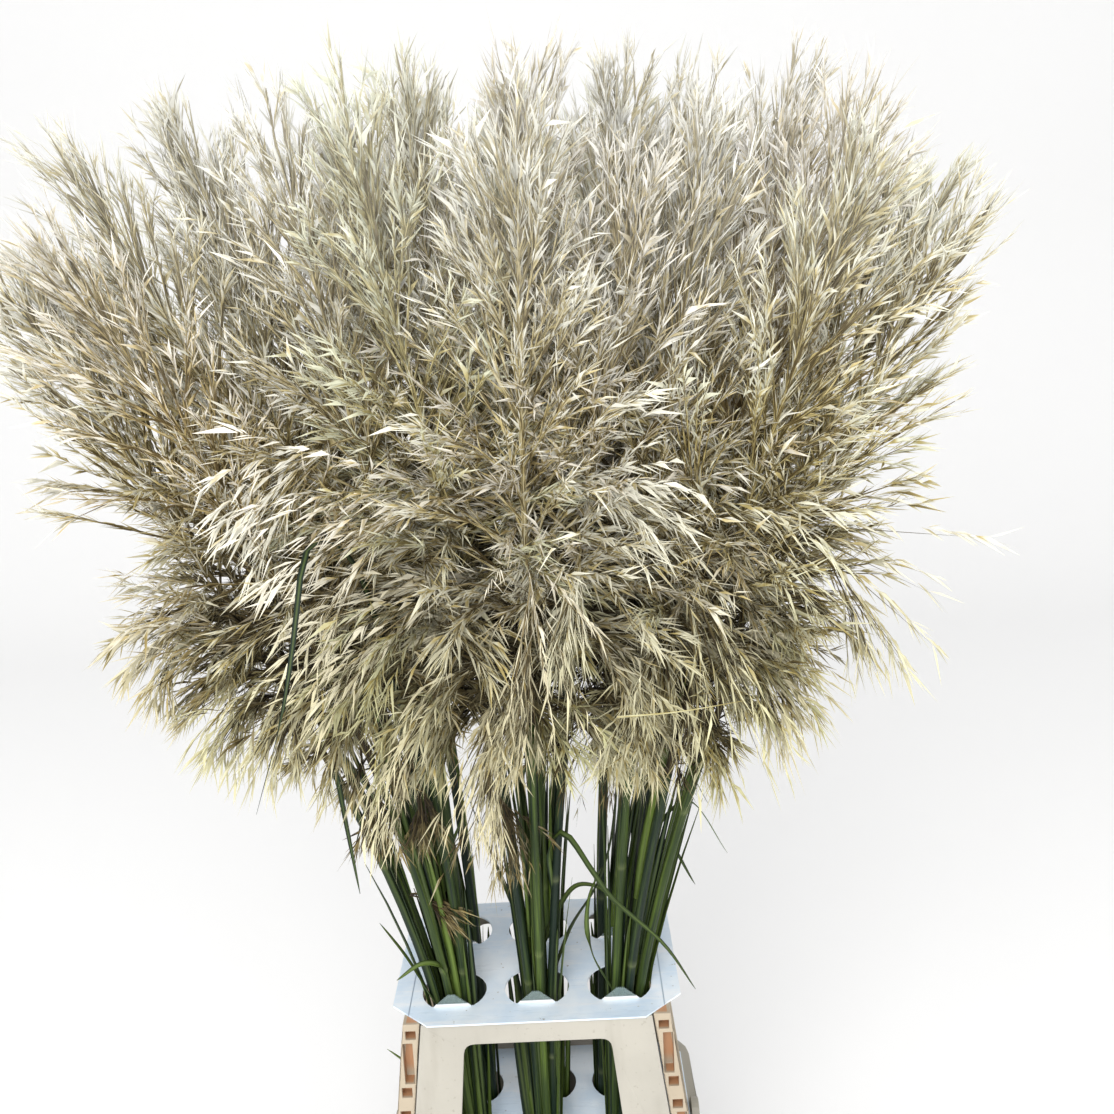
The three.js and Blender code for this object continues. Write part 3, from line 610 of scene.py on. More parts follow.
def fluff(carriers, many, settings, rng, greenness, inner=False):
    """Strands that leave the paths at small angles and sag. Most are broad and streaked, as several
    hairs side by side, and the others are fine, painted paler as highlights. Inner ones are large and
    lie close to the branches, painted dark as the shade inside the crown. A strand starts at share 0.1
    + 0.97 r^0.8 of its path, and leans off it by 3 to 15 + 12 share + 16 low degrees. It is likelier by
    0.06 + 0.94 outwardness, and an inner one by 0.03 + (1 - outwardness)^2. "growth" holds how far
    along a strand, a chance, how far out its root is with painted shade low in the plume and deep in
    the crown, and the plume's greenness."""
    kind = INNER if inner else OUTER
    tries = int(many * kind["tries"])
    chances = carriers.lengths * (1 + 0.7 * carriers.hang)
    which = rng.choice(len(carriers.paths), tries, p=chances / chances.sum())
    begun = carriers.begun[which]
    share = np.where(begun > 0, 0.02, 0.1) + 0.97 * rng.random(tries) ** 0.8
    share = np.minimum(share, 1) * kind["reach"]
    points, along = on_paths(carriers.paths, which, share)
    outside = outwardness(points)
    seen = 0.03 + (1 - outside) ** 2 if inner else 0.06 + 0.94 * outside
    kept = rng.choice(tries, many, replace=False, p=seen / seen.sum())
    which, begun, share, points, along, outside = (
        x[kept] for x in (which, begun, share, points, along, outside)
    )
    hanging, low = carriers.hang[which], carriers.low[which]
    fine = (rng.random(many) < settings.fine_share) & (not inner)
    tilt = np.tan(np.radians(rng.uniform(3, 15 + 12 * share + 16 * low) * kind["tilt"]))
    directions = leaning_from(along, tilt, rng.random(many) * 2 * math.pi)
    bends = rng.normal(0, 0.11, (many, 3))
    bends = bends - UP * (rng.uniform(0, 0.18, many) + 0.12 * hanging)[:, None]
    bends = bends * kind["sag"]
    size = rng.uniform(0.55, 1.35, many) * np.where(fine, FINE_LONGER, 1)
    long = settings.strand_length / MM * size * kind["long"]
    nearer = np.clip(-points[:, 1] / 300, 0, 1)
    wide = settings.strand_width / MM * rng.uniform(0.7, 1.25, many)
    wide = wide * np.where(fine, FINE_THINNER, kind["wide"]) * (1 - 0.25 * nearer)
    turn = rng.random(many) * 2 * math.pi
    strand_points, faces, grain = spindles(points, directions, long, wide, turn, bends)
    # Fine strands are painted paler, as highlights on single hairs.
    by_chance = np.clip(rng.random(many) * kind["varied"] + 0.3 * fine + 0.15 * hanging, 0, 1)
    # How far out the root is, darkened low in the plume and deep inside the crown: painted shade.
    outward_with_shade = (begun + (1 - begun) * share) * (1 - 0.7 * low * (1 - 0.5 * hanging))
    outward_with_shade = outward_with_shade * (0.5 + 0.5 * outside)
    colours = stacked(kind["growth"], by_chance[:, None], outward_with_shade[:, None], greenness)
    grain = grain * kind["grain"] + rng.random((many, 1, 3)) * 900
    return strand_points, [faces], colours.reshape(-1, 4), grain.reshape(-1, 3) * MM


def bare(surface, greenness):
    """A branch's own surface in its plain colour."""
    points, faces, grain = surface
    colours = np.tile((0.2, 0.35, 0.25, greenness), (len(points), 1))
    return points, faces, colours, grain.reshape(-1, 3) * MM


def thin_tubes(paths, radius, sides):
    """Closed tubes along the paths that thin out to their tips."""
    taper = np.linspace(1, 0.25, paths.shape[1])[None] * radius
    points, quads, caps, grain = tubes(paths, np.broadcast_to(taper, paths.shape[:2]), sides)
    return points, [quads, caps], grain


def thin_spindles(paths, width):
    """A straight spindle from the start of each path to its end."""
    reach = paths[:, -1] - paths[:, 0]
    long = np.linalg.norm(reach, axis=1)
    points, faces, grain = spindles(paths[:, 0], unit(reach), long, 0 * long + width, 0 * long)
    return points, [faces], grain


def tuft_surfaces(stalk, settings, rng, greenness, tone):
    """A nodding tuft: twigs that leave the outer half of a bent stalk like a broom, with
    strands. Its growth is multiplied by 1 + tone, which makes it cream, or dry and brown."""
    count = settings.tuft_twigs
    start = rng.uniform(0.4, 0.9, count)
    roots, along = on_paths(stalk, np.zeros(count, int), start)
    tilt = np.tan(np.radians(rng.uniform(4, 24, count)))
    starts = leaning_from(along, tilt, rng.random(count) * 2 * math.pi)
    reach = distances(stalk[0])[-1]
    lengths = 0.25 * reach + reach * (0.95 - start) * rng.uniform(0.6, 1.0, count)
    droops = rng.uniform(0.2, 0.6, count)
    twigs = drooping_paths(roots, starts, lengths, droops, np.zeros((count, 3)), 4)
    whole = np.ones(count)
    fan = Carriers(twigs, lengths, whole, 0.4 * whole, 0.2 * whole)
    many = int(settings.tuft_strands * min(1, reach / TUFT_FULL_AT))
    strands = fluff(fan, many, settings, rng, greenness)
    strands[2][:, :3] = strands[2][:, :3] * (1 + tone) + 0.1 * tone
    wood = (thin_spindles(twigs, 2.0), thin_tubes(stalk, 1.7, 4))
    return [strands] + [bare(surface, greenness) for surface in wood]


def plume_piece(plant, settings, material):
    """An axis with branches and twigs, more of these where a branch hangs, spindle-shaped
    strands that stand off all of them, and the plume's tufts. All of it moves with the tip, by
    share^2 of the height over the neck."""
    rng = np.random.default_rng(PLUME_SEED + plant.index)
    greenness = GREENER.get(plant.name, chance(plant.index, 5))
    count = settings.branches
    t, lengths, droops, hang, mains = plume_branches(plant, rng, count)
    owner = np.repeat(np.arange(count), settings.twigs + HANGING_TWIGS * (hang > 0))
    total = len(owner)
    start = rng.uniform(0.05, 0.8, total)
    roots, along = on_paths(mains, owner, start)
    tilt = np.tan(np.radians(rng.uniform(4, 22, total) * (1 - 0.3 * hang[owner])))
    starts = leaning_from(along, tilt, rng.random(total) * 2 * math.pi)
    twig_lengths = lengths[owner] * (1.1 - start) * rng.uniform(0.7, 1.0, total)
    sways = rng.normal(0, 0.12, (total, 3))
    twigs = drooping_paths(roots, starts, twig_lengths, 0.3 * droops[owner], sways, 3)
    axis = plant.at(np.linspace(plant.neck, plant.tip - AXIS_SHORTER, 12))[None]
    none = np.zeros(1)
    low = (1 - t) ** 1.5

    strands = settings.strands * STRAND_SHARES.get(plant.bunch_name, BACK_SHARE)
    runs = [PLUME_LENGTH * AXIS_WEIGHT, lengths.sum(), twig_lengths.sum()]
    on_axis, on_mains, on_twigs = (int(strands * run / sum(runs)) for run in runs)
    groups = [
        (Carriers(axis, none + 1, none, none, none), on_axis),
        (Carriers(mains, lengths, hang, 0 * t, low), on_mains),
        (Carriers(twigs, twig_lengths, hang[owner], start, low[owner]), on_twigs),
    ]
    parts = [fluff(carriers, many, settings, rng, greenness) for carriers, many in groups]
    parts.append(fluff(groups[1][0], settings.inner_strands, settings, rng, greenness, inner=True))
    parts.append(bare(thin_tubes(axis, STEM_RADIUS[1], 6), greenness))
    parts.append(bare(thin_tubes(mains[:, ::3], 1.5, 3), greenness))
    parts.append(bare(thin_spindles(twigs, 2.2), greenness))
    for tufts, tone in ((TUFTS, TUFT_TONE), (DRY_TUFTS, DRY_TONE)):
        for bunch, stem, height, *marks in tufts:
            if bunch * STEMS_A_BUNCH + stem == plant.index:
                stalk = smooth_path([plant.at(height), *marks], 12)[None]
                parts += tuft_surfaces(stalk, settings, rng, greenness, tone)
    if plant.name == STALK_OWNER:
        stalk = bare(thin_tubes(smooth_path(STALK, 8)[None], 0.9, 4), greenness)
        stalk[2][:, :3] = (0.5, 0.5, 0.6)
        parts.append(stalk)
    points, faces, colours, grain = joined(parts)
    aside, up = TIP_MOVES.get(plant.name, (0, 0))
    share = np.clip((points[:, 2] - plant.neck) / (plant.tip - plant.neck), 0, 1.1)
    # Painted light: the lower part of this bunch is made paler, as light falling on it.
    if plant.bunch_name == PAINTED_LIGHT_BUNCH:
        colours[:, 1] += PAINTED_LIGHT * (1 - np.clip(share, 0, 1) ** 1.5)
    points = points + (share**2)[:, None] * np.array([aside, 0, up])
    name = f"fluffy_plume_{plant.name}"
    return make_piece(name, placed(points), faces, material, colours, grain)


# Stems and leaves


def stem_surface(plant, rng):
    """Radius (5.8 to 4.5 mm) (1 + 0.07 cos 2(a - a0) + a sheath's fold) along the stem. Each
    sheath starts at a joint, stands proud there and closes upon the stem above. "growth" holds
    how near a joint is, the stem's chance, the height's share and the fold."""
    joints = np.sort(rng.uniform(-230, 330, 1)[0] + np.arange(-3, 4) * SHEATH_LENGTH)
    joints = joints[(joints > FOOT + 40) & (joints < plant.neck - 30)]
    near = np.concatenate([joints + step for step in (-4, 0, 2, 9)])
    g = np.sort(np.concatenate([np.linspace(FOOT, plant.neck, 18), near]))
    sides = 12
    angle = np.arange(sides) * 2 * math.pi / sides
    share = (g - FOOT) / (plant.neck - FOOT)
    radius = STEM_RADIUS[0] + (STEM_RADIUS[1] - STEM_RADIUS[0]) * share
    gap = g[:, None] - joints[None]
    ring = np.exp(-((gap / 3.0) ** 2)).sum(axis=1)
    since = np.where(gap >= 0, gap, 1e3).min(axis=1)
    sheath = np.where(since < SHEATH_LENGTH, 1 - since / SHEATH_LENGTH, 0)
    turn = rng.random() * 6.283 + g * 0.0016
    flat = 0.07 * np.cos(2 * (angle[None] - turn[:, None]))
    away = np.angle(np.exp(1j * (angle[None] - turn[:, None] - 1.1)))
    fold = SHEATH_FOLD * np.exp(-((away / 0.35) ** 2))
    wide = radius[:, None] * (1 + flat + fold + 0.07 * sheath[:, None]) + 0.3 * ring[:, None]
    cos, sin, height, middle = np.cos(angle), np.sin(angle), g[:, None], plant.at(g)[:, None]
    points = stacked(middle[..., 0] + wide * cos, middle[..., 1] + wide * sin, height)
    joint, folded = np.clip(ring, 0, 1)[:, None], np.clip(fold / SHEATH_FOLD, 0, 1)
    colours = stacked(joint, chance(plant.index, 6), share[:, None], folded)
    grain = stacked(cos, sin, height * MM + plant.index)
    quads, caps = grid_faces(1, len(g), sides)
    return points.reshape(-1, 3), [quads, caps], colours.reshape(-1, 4), grain.reshape(-1, 3)


def between(t, start, end, first, second):
    """From the first point at "start" to the second at "end", in proportion to t."""
    return (end - t) / (end - start) * first + (t - start) / (end - start) * second


def distances(path):
    """How far along a path each of its points is."""
    return np.concatenate([[0], np.cumsum(np.linalg.norm(np.diff(path, axis=0), axis=1))])


def smooth_path(points, count):
    """A centripetal Catmull-Rom curve through the points, at even steps of its length."""
    points = np.asarray(points, float)
    ends = np.vstack([2 * points[0] - points[1], points, 2 * points[-1] - points[-2]])
    steps = np.linalg.norm(np.diff(ends, axis=0), axis=1)
    knots = np.concatenate([[0], np.cumsum(np.sqrt(steps))])
    found = []
    for i in range(1, len(ends) - 2):
        t = np.linspace(knots[i], knots[i + 1], 24, endpoint=False)[:, None]
        p, k = ends[i - 1 : i + 3], knots[i - 1 : i + 3]
        a = [between(t, k[j], k[j + 1], p[j], p[j + 1]) for j in range(3)]
        b = [between(t, k[j], k[j + 2], a[j], a[j + 1]) for j in range(2)]
        found.append(between(t, k[1], k[2], b[0], b[1]))
    dense = np.vstack([*found, points[-1:]])
    run = distances(dense)
    even = np.linspace(0, run[-1], count)
    return np.stack([np.interp(even, run, dense[:, axis]) for axis in range(3)], axis=1)


def sheath_paths(bunch, rng):
    """Blades that run up among the stems of a bunch, each at its own place in the bunch and
    turning a little round it, with the bunch's middle beside them. Two thirds of the loose ones
    stand off the bunch, and the others end under the upper sheet."""
    plant = PLANTS[bunch * STEMS_A_BUNCH]
    for number in range(SHEATHS_A_BUNCH[bunch]):
        loose = number < LOOSE_BLADES[bunch]
        tall = number % 3 > 0
        low = rng.uniform(FOOT + 60, -330 if loose else 150)
        high = rng.uniform(20, 300) if tall else rng.uniform(-80, -25)
        g = np.linspace(low, high if loose else low + rng.uniform(170, 420), 10)
        turn = rng.choice([0.5, 2.6]) + rng.normal(0, 0.5) if loose else rng.random() * 2 * math.pi
        turn = turn + rng.uniform(-0.6, 0.6) * np.linspace(0, 1, len(g))
        far = rng.uniform(0.35, 1.0)
        if loose:
            far = rng.uniform(1.2, 1.7) if tall else rng.uniform(1.3, 2.6)
        yield plant.at(g, (far * np.cos(turn), far * np.sin(turn))), plant.at(g, (0, 0))


def leaf_surface(path, width, thickness, seed, facing=None):
    """A keeled blade: half width 0.5 w sqrt(1 - s) min(1, 0.4 + 3 s) at share s, its edges
    raised by 0.36 of the half width, with an upper and a lower skin. "facing" is what its back
    is turned to. "growth" holds nothing, the blade's chance, the share and the keel."""
    rng = np.random.default_rng(seed)
    count = len(path)
    s = np.linspace(0, 1, count)
    tangent = unit(np.gradient(path, axis=0))
    side = np.stack([-tangent[:, 1], tangent[:, 0], 0 * s], axis=1)
    if facing is not None:
        side = np.cross(tangent, path - facing)
    side = unit(side + 1e-6)
    roll = rng.uniform(-0.5, 0.5) + rng.uniform(-1.2, 1.2) * s
    normal = np.cross(tangent, side)
    turned = np.cos(roll)[:, None] * side + np.sin(roll)[:, None] * normal
    face = np.cross(tangent, turned)
    half = 0.5 * width * np.sqrt(np.clip(1 - s, 0.003, 1)) * np.minimum(1, 0.4 + 3 * s)
    across = np.array([-1, -0.5, 0, 0.5, 1, 0.5, 0, -0.5])
    lift = np.array([0.36, 0.13, 0, 0.13, 0.36, 0.13, 0, 0.13])
    deep = np.array([0, 1, 1, 1, 0, -1, -1, -1]) * 0.5 * thickness
    points = (
        path[:, None]
        + (half[:, None] * across)[..., None] * turned[:, None]
        + (half[:, None] * lift - deep * (1 - 0.7 * s[:, None]))[..., None] * face[:, None]
    )
    keel = np.clip(1 - np.abs(across) * 3, 0, 1)
    colours = stacked(0.0, rng.random(), s[:, None], keel)
    grain = stacked(across, 0.0, distances(path)[:, None] * MM + seed)
    quads, caps = grid_faces(1, count, 8)
    return points.reshape(-1, 3), [quads, caps], colours.reshape(-1, 4), grain.reshape(-1, 3)


def joined(surfaces):
    """Several surfaces as one table of points, faces, colours and grain."""
    points, faces, colours, grain, offset = [], [], [], [], 0
    for surface_points, tables, surface_colours, surface_grain in surfaces:
        points.append(surface_points)
        faces += [table + offset for table in tables]
        colours.append(surface_colours)
        grain.append(surface_grain)
        offset += len(surface_points)
    return np.concatenate(points), faces, np.concatenate(colours), np.concatenate(grain)


def green_piece(name, surfaces, material):
    """Several stems or leaves as one smooth piece."""
    points, faces, colours, grain = joined(surfaces)
    return make_piece(name, placed(points), faces, material, colours, grain, smooth=True)


# Materials


class Maths:
    """A socket's value, so that + - and * on it add Math nodes."""

    def __init__(self, shader, socket):
        self.shader = shader
        self.socket = socket

    def joined_by(self, operation, first, second):
        """A Math node that joins two values."""
        return self.shader.node("ShaderNodeMath", {"operation": operation}, {0: first, 1: second})

    def __add__(self, other):
        return self.joined_by("ADD", self, other)

    def __radd__(self, other):
        return self.joined_by("ADD", other, self)

    def __sub__(self, other):
        return self.joined_by("SUBTRACT", self, other)

    def __rsub__(self, other):
        return self.joined_by("SUBTRACT", other, self)

    def __mul__(self, other):
        return self.joined_by("MULTIPLY", self, other)

    def __rmul__(self, other):
        return self.joined_by("MULTIPLY", other, self)


class Shader:
    """A material's nodes, with a Principled surface."""

    def __init__(self, name, roughness=0.5):
        self.material = bpy.data.materials.new(name)
        self.material.use_nodes = True
        self.tree = self.material.node_tree
        self.surface = self.tree.nodes["Principled BSDF"]
        self.surface.inputs["Roughness"].default_value = roughness

    def node(self, kind, settings=None, inputs=None, output=0):
        """Adds a node, sets it up and fills its sockets with values or links."""
        made = self.tree.nodes.new(kind)
        for key, value in (settings or {}).items():
            if key == "stops":
                self.set_stops(made.color_ramp, value)
            else:
                setattr(made, key, value)
        for key, value in (inputs or {}).items():
            self.fill(made.inputs[key], value)
        return Maths(self, made.outputs[output])

    def set_stops(self, ramp, stops):
        """Gives a ramp its stops, each a place and a colour."""
        while len(ramp.elements) < len(stops):
            ramp.elements.new(1.0)
        for element, (place, colour) in zip(ramp.elements, stops):
            element.position = place
            element.color = (*colour, 1.0)

    def fill(self, socket, value):
        """Links a value to a socket, or sets the socket to a number or colour."""
        if isinstance(value, Maths):
            self.tree.links.new(value.socket, socket)
        elif socket.type == "RGBA" and len(value) == 3:
            socket.default_value = (*value, 1.0)
        else:
            socket.default_value = value

    def set(self, **values):
        """Fills the surface's sockets, named with underscores for spaces."""
        for name, value in values.items():
            self.fill(self.surface.inputs[name.replace("_", " ")], value)

    def place(self, scale=(1, 1, 1), source="Object"):
        """Object coordinates, or an attribute's vector, stretched by "scale"."""
        if source == "Object":
            base = self.node("ShaderNodeTexCoord", output="Object")
        else:
            base = self.node("ShaderNodeAttribute", {"attribute_name": source}, output="Vector")
        return self.node("ShaderNodeMapping", {}, {"Vector": base, "Scale": scale})

    def axes(self, vector):
        """The three numbers of a vector."""
        parts = self.node("ShaderNodeSeparateXYZ", {}, {0: vector}).socket.node.outputs
        return [Maths(self, socket) for socket in parts]

    def absolute(self, value):
        """The value without its sign."""
        return self.node("ShaderNodeMath", {"operation": "ABSOLUTE"}, {0: value})

    def noise(self, place, scale, detail=3.0, roughness=0.55):
        """Cloudy noise, as a number round 0.5."""
        inputs = {"Vector": place, "Scale": scale, "Detail": detail, "Roughness": roughness}
        return self.node("ShaderNodeTexNoise", {}, inputs)

    def step(self, value, low, high, to_low=0.0, to_high=1.0):
        """A smooth step of the value from low to high."""
        return self.node(
            "ShaderNodeMapRange",
            {"interpolation_type": "SMOOTHSTEP"},
            {"Value": value, "From Min": low, "From Max": high, "To Min": to_low, "To Max": to_high},
        )

    def mix(self, share, first, second, blend="MIX"):
        """A share of the second colour in the first."""
        settings = {"data_type": "RGBA", "blend_type": blend, "clamp_result": False}
        return self.node("ShaderNodeMix", settings, {0: share, 6: first, 7: second}, output=2)

    def tinted(self, colour, tint):
        """A colour multiplied by another."""
        return self.mix(1.0, colour, tint, "MULTIPLY")

    def ramp(self, value, stops):
        """A colour that changes with the value."""
        return self.node("ShaderNodeValToRGB", {"stops": stops}, {0: value})

    def bump(self, height, distance, strength):
        """A normal that follows the height."""
        inputs = {"Height": height, "Distance": distance, "Strength": strength}
        return self.node("ShaderNodeBump", {}, inputs)

    def growth(self):
        """The four numbers of the point colour "growth"."""
        colour = self.node("ShaderNodeAttribute", {"attribute_name": "growth"}, output="Color")
        split = colour.socket.node
        parts = self.tree.nodes.new("ShaderNodeSeparateColor")
        self.tree.links.new(colour.socket, parts.inputs[0])
        return [Maths(self, socket) for socket in (*parts.outputs, split.outputs["Alpha"])]


def toned(colour, tone):
    """A colour whose parts are multiplied by a tone's, and are at most 1."""
    return tuple(min(1.0, part * factor) for part, factor in zip(colour, tone))


def plume_material(settings):
    """Olive brown at a strand's root and by the axis, straw, and then cream at the tip, with each plume
    and each strand a little different, and streaks of hairs with painted shade between them. Low down
    the fluff has painted shade that is darkest inside, and high up it is paler and more even."""
    shader = Shader("plume_fluff", roughness=0.8)
    along, by_chance, outward_with_shade, greenness = shader.growth()
    patches = shader.noise(shader.place(), 9.0)
    fine = shader.noise(shader.place((900, 900, 50), source="grain"), 1.0, detail=1.0, roughness=0.5)
    # The streaks draw hairs side by side, with painted shade in the gaps between them.
    streak = shader.step(fine, 0.35, 0.62)
    value = along * 0.34 + outward_with_shade * 0.66 + by_chance * 0.28 + (patches - 0.5) * 0.4
    value = value + (streak - 0.5) * 0.5 - 0.16
    root, straw, tip = settings.root_colour, settings.straw_colour, settings.tip_colour
    pale = toned(tip, (1.2, 1.2, 1.2))
    colour = shader.ramp(value, [(0.12, root), (0.42, straw), (0.76, tip), (1.0, pale)])
    pinkish, olive, green = (1.0, 0.94, 0.89), (0.98, 0.98, 0.90), (0.92, 0.95, 0.78)
    tints = [(0.0, pinkish), (0.45, (1.0, 1.0, 1.0)), (0.8, olive), (1.0, green)]
    colour = shader.tinted(colour, shader.ramp(greenness + (patches - 0.5) * 0.5, tints))
    # Painted shade low in the crown: below about 1.2 m the colour is multiplied by a darker tone,
    # darkest inside.
    height = shader.axes(shader.place())[2] + (patches - 0.5) * 0.2
    low = 1 - shader.step(height, 0.92, 1.18)
    shade = shader.mix(shader.step(outward_with_shade, 0.22, 0.7), (0.13, 0.11, 0.06), (0.70, 0.68, 0.51))
    colour = shader.mix(low, colour, shader.tinted(colour, shade))
    high = shader.step(height, 1.15, 1.5)
    even = shader.mix(0.42, shader.tinted(colour, (1.03, 1.07, 1.20)), (0.61, 0.58, 0.48))
    colour = shader.mix(high, colour, even)
    shader.set(Base_Color=colour)
    return shader.material


def stem_material(settings, name, leaf=False):
    """Lengthwise stripes from deep to yellow green, with pale joints and folds."""
    shader = Shader(name, roughness=0.42)
    pale, by_chance, _, fold = shader.growth()
    grain = shader.place((2.2, 2.2, 3.5), source="grain")
    stripes = shader.noise(grain, 3.0, detail=4.0, roughness=0.65)
    broad = shader.noise(shader.place((0.8, 0.8, 5.0), source="grain"), 1.3)
    value = (stripes - 0.5) * 1.2 + (broad - 0.5) * 1.3 + by_chance * 0.7 + 0.05
    deep, bright = settings.deep_colour, settings.bright_colour
    middle = tuple(0.7 * a + 0.3 * b for a, b in zip(deep, bright))
    colour = shader.ramp(value, [(0.15, deep), (0.5, middle), (1.0, bright)])
    colour = shader.mix(fold * 0.25, colour, (0.24, 0.32, 0.09))
    if not leaf:
        colour = shader.mix(pale * 0.2, colour, (0.34, 0.38, 0.16))
    fine = shader.noise(shader.place((9.0, 9.0, 6.0), source="grain"), 3.0, detail=2.0)
    shader.set(Base_Color=colour, Roughness=shader.step(stripes, 0.3, 0.8, 0.42, 0.62))
    shader.set(Normal=shader.bump(fine, 0.0006, 0.5), Specular_IOR_Level=0.3)
    return shader.material


def plastic_material(settings, name, tone=(1, 1, 1), pockets=False, painted_inner_shade=False):
    """Matt moulded plastic with a fine grain, dust, faint runs and a few scuffs. With "pockets" a side
    panel's openings get painted shade, orange brown as light coming through the plastic; the other flag
    paints shade on the inner face of a front or back panel."""
    shader = Shader(name, roughness=0.5)
    place = shader.place()
    clouds = shader.noise(place, 7.0, detail=5.0)
    runs = shader.noise(shader.place((1.0, 1.0, 0.16)), 34.0, detail=3.0)
    specks = shader.noise(place, 190.0, detail=2.0)
    base = toned(settings.plastic_colour, tone)
    light, dust = toned(base, (1.13, 1.13, 1.13)), toned(base, (0.62, 0.58, 0.52))
    colour = shader.mix(shader.step(clouds, 0.35, 0.7), base, light)
    colour = shader.mix(shader.step(runs, 0.55, 0.8) * 0.3, colour, dust)
    colour = shader.mix(shader.step(specks, 0.66, 0.74) * 0.4, colour, dust)
    if pockets or painted_inner_shade:
        x, y, z = shader.axes(place)
        climb = z - COLLAR_FOOT
        inwards = COLLAR_FACE[0] - climb * COLLAR_FACE[1] - shader.absolute(y)
    if pockets:
        # Painted shade in the side's pockets, orange brown as light coming through the plastic.
        side = COLLAR_SIDE[0] - climb * COLLAR_SIDE[1]
        inside = shader.absolute(shader.absolute(x) - side - POCKET_MIDDLE)
        depth = inwards - POCKET_FACE
        pocket_shade = shader.step(depth, 0.0008, 0.006) * (1 - shader.step(depth, 0.0155, 0.0165))
        pocket_shade = pocket_shade * (1 - shader.step(inside, 0.0061, 0.0066))
        colour = shader.mix(pocket_shade * 0.8, colour, (0.50, 0.22, 0.09))
    if painted_inner_shade:
        # Painted shade on the inner face of the panel.
        colour = shader.mix(shader.step(inwards, 0.0022, 0.0030) * 0.6, colour, (0.16, 0.13, 0.10))
    grain = shader.noise(place, 900.0, detail=1.0)
    shader.set(Base_Color=colour, Roughness=shader.step(clouds, 0.3, 0.7, 0.44, 0.58))
    shader.set(Normal=shader.bump(grain + clouds * 0.6, 0.0004, 0.35))
    return shader.material


def sheet_material(settings, name, tongues=True):
    """Thin milky plastic: pale blue with white streaks and smudges, a little dirt, darker fold lines,
    and tongues painted dark green as shade that let what is behind them show through, with a painted
    white highlight along each tongue's bend."""
    shader = Shader(name, roughness=0.3)
    place = shader.place()
    clouds = shader.noise(place, 16.0, detail=5.0)
    streaks = shader.noise(shader.place((0.35, 2.6, 1.0)), 26.0, detail=4.0, roughness=0.7)
    base = settings.sheet_colour
    white = (0.90, 0.93, 0.96)
    shade = toned(base, (0.78, 0.86, 0.94))
    colour = shader.mix(shader.step(clouds, 0.35, 0.68), shade, base)
    colour = shader.mix(shader.step(streaks, 0.5, 0.72) * 0.65, colour, white)
    specks = shader.noise(place, 150.0, detail=2.0)
    colour = shader.mix(shader.step(specks, 0.70, 0.76) * 0.6, colour, (0.25, 0.22, 0.16))
    if tongues:
        x, _, z = shader.axes(place)
        off = shader.absolute(shader.absolute(x) - FOLD_X)
        crease = 1 - shader.step(off, 0.0004, 0.0012)
        colour = shader.mix(crease * 0.8, colour, (0.36, 0.46, 0.58))
        top = SHEET_TOP * MM
        standing = shader.step(z, top + 0.0013, top + 0.0021)
        bend = standing * (1 - shader.step(z, top + 0.0043, top + 0.0051))
        # The standing tongues are painted dark green as shade, and are half see-through.
        colour = shader.mix(standing * 0.8, colour, (0.12, 0.19, 0.15))
        # A painted white highlight along the tongue's bend.
        colour = shader.mix(bend, colour, (0.97, 0.98, 1.0))
        shader.set(Alpha=1 - standing * 0.5 + bend * 0.5)
    shader.set(Base_Color=colour, Roughness=shader.step(streaks, 0.3, 0.7, 0.26, 0.42))
    shader.set(Normal=shader.bump(streaks + clouds, 0.0012, 0.3), Coat_Weight=0.25)
    return shader.material


def water_material():
    """Still water that is slightly green."""
    shader = Shader("tub_water", roughness=0.04)
    ripples = shader.noise(shader.place(), 22.0, detail=2.0)
    murk = shader.noise(shader.place(), 6.0, detail=4.0)
    colour = shader.mix(shader.step(murk, 0.35, 0.7), (0.32, 0.38, 0.30), (0.50, 0.54, 0.45))
    shader.set(Base_Color=colour, Normal=shader.bump(ripples, 0.002, 0.25))
    shader.set(Transmission_Weight=0.75, IOR=1.33)
    return shader.material


def floor_material(colour):
    """A plain matt floor with the faintest unevenness."""
    shader = Shader("stage_floor", roughness=0.9)
    cloud = shader.noise(shader.place(), 1.5)
    darker = toned(colour, (0.985, 0.985, 0.985))
    shader.set(Base_Color=shader.mix(cloud, darker, tuple(colour)))
    return shader.material


# Operators: one for each piece or group of like pieces, and one for the stage


class PAMPAS_OT_plumes(bpy.types.Operator):
    """Builds the fluffy plumes."""

    bl_idname = "pampas.plumes"
    bl_label = "Fluffy plumes"

    def execute(self, context):
        settings = context.scene.pampas_plumes
        material = plume_material(settings)
        for plant in PLANTS:
            piece = plume_piece(plant, settings, material)
            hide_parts(f"plume_{plant.name}")
        return {"FINISHED"}


class PAMPAS_OT_stems(bpy.types.Operator):
    """Builds the green stems, one piece for each bunch."""

    bl_idname = "pampas.stems"
    bl_label = "Green stems"

    def execute(self, context):
        material = stem_material(context.scene.pampas_stems, "green_stem")
        for name, *_ in BUNCHES:
            plants = [plant for plant in PLANTS if plant.bunch_name == name]
            draws = [np.random.default_rng(STEM_SEED + plant.index) for plant in plants]
            surfaces = [stem_surface(plant, rng) for plant, rng in zip(plants, draws)]
            piece = green_piece(f"green_stems_{name}", surfaces, material)
            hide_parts(f"stems_{name}")
        return {"FINISHED"}


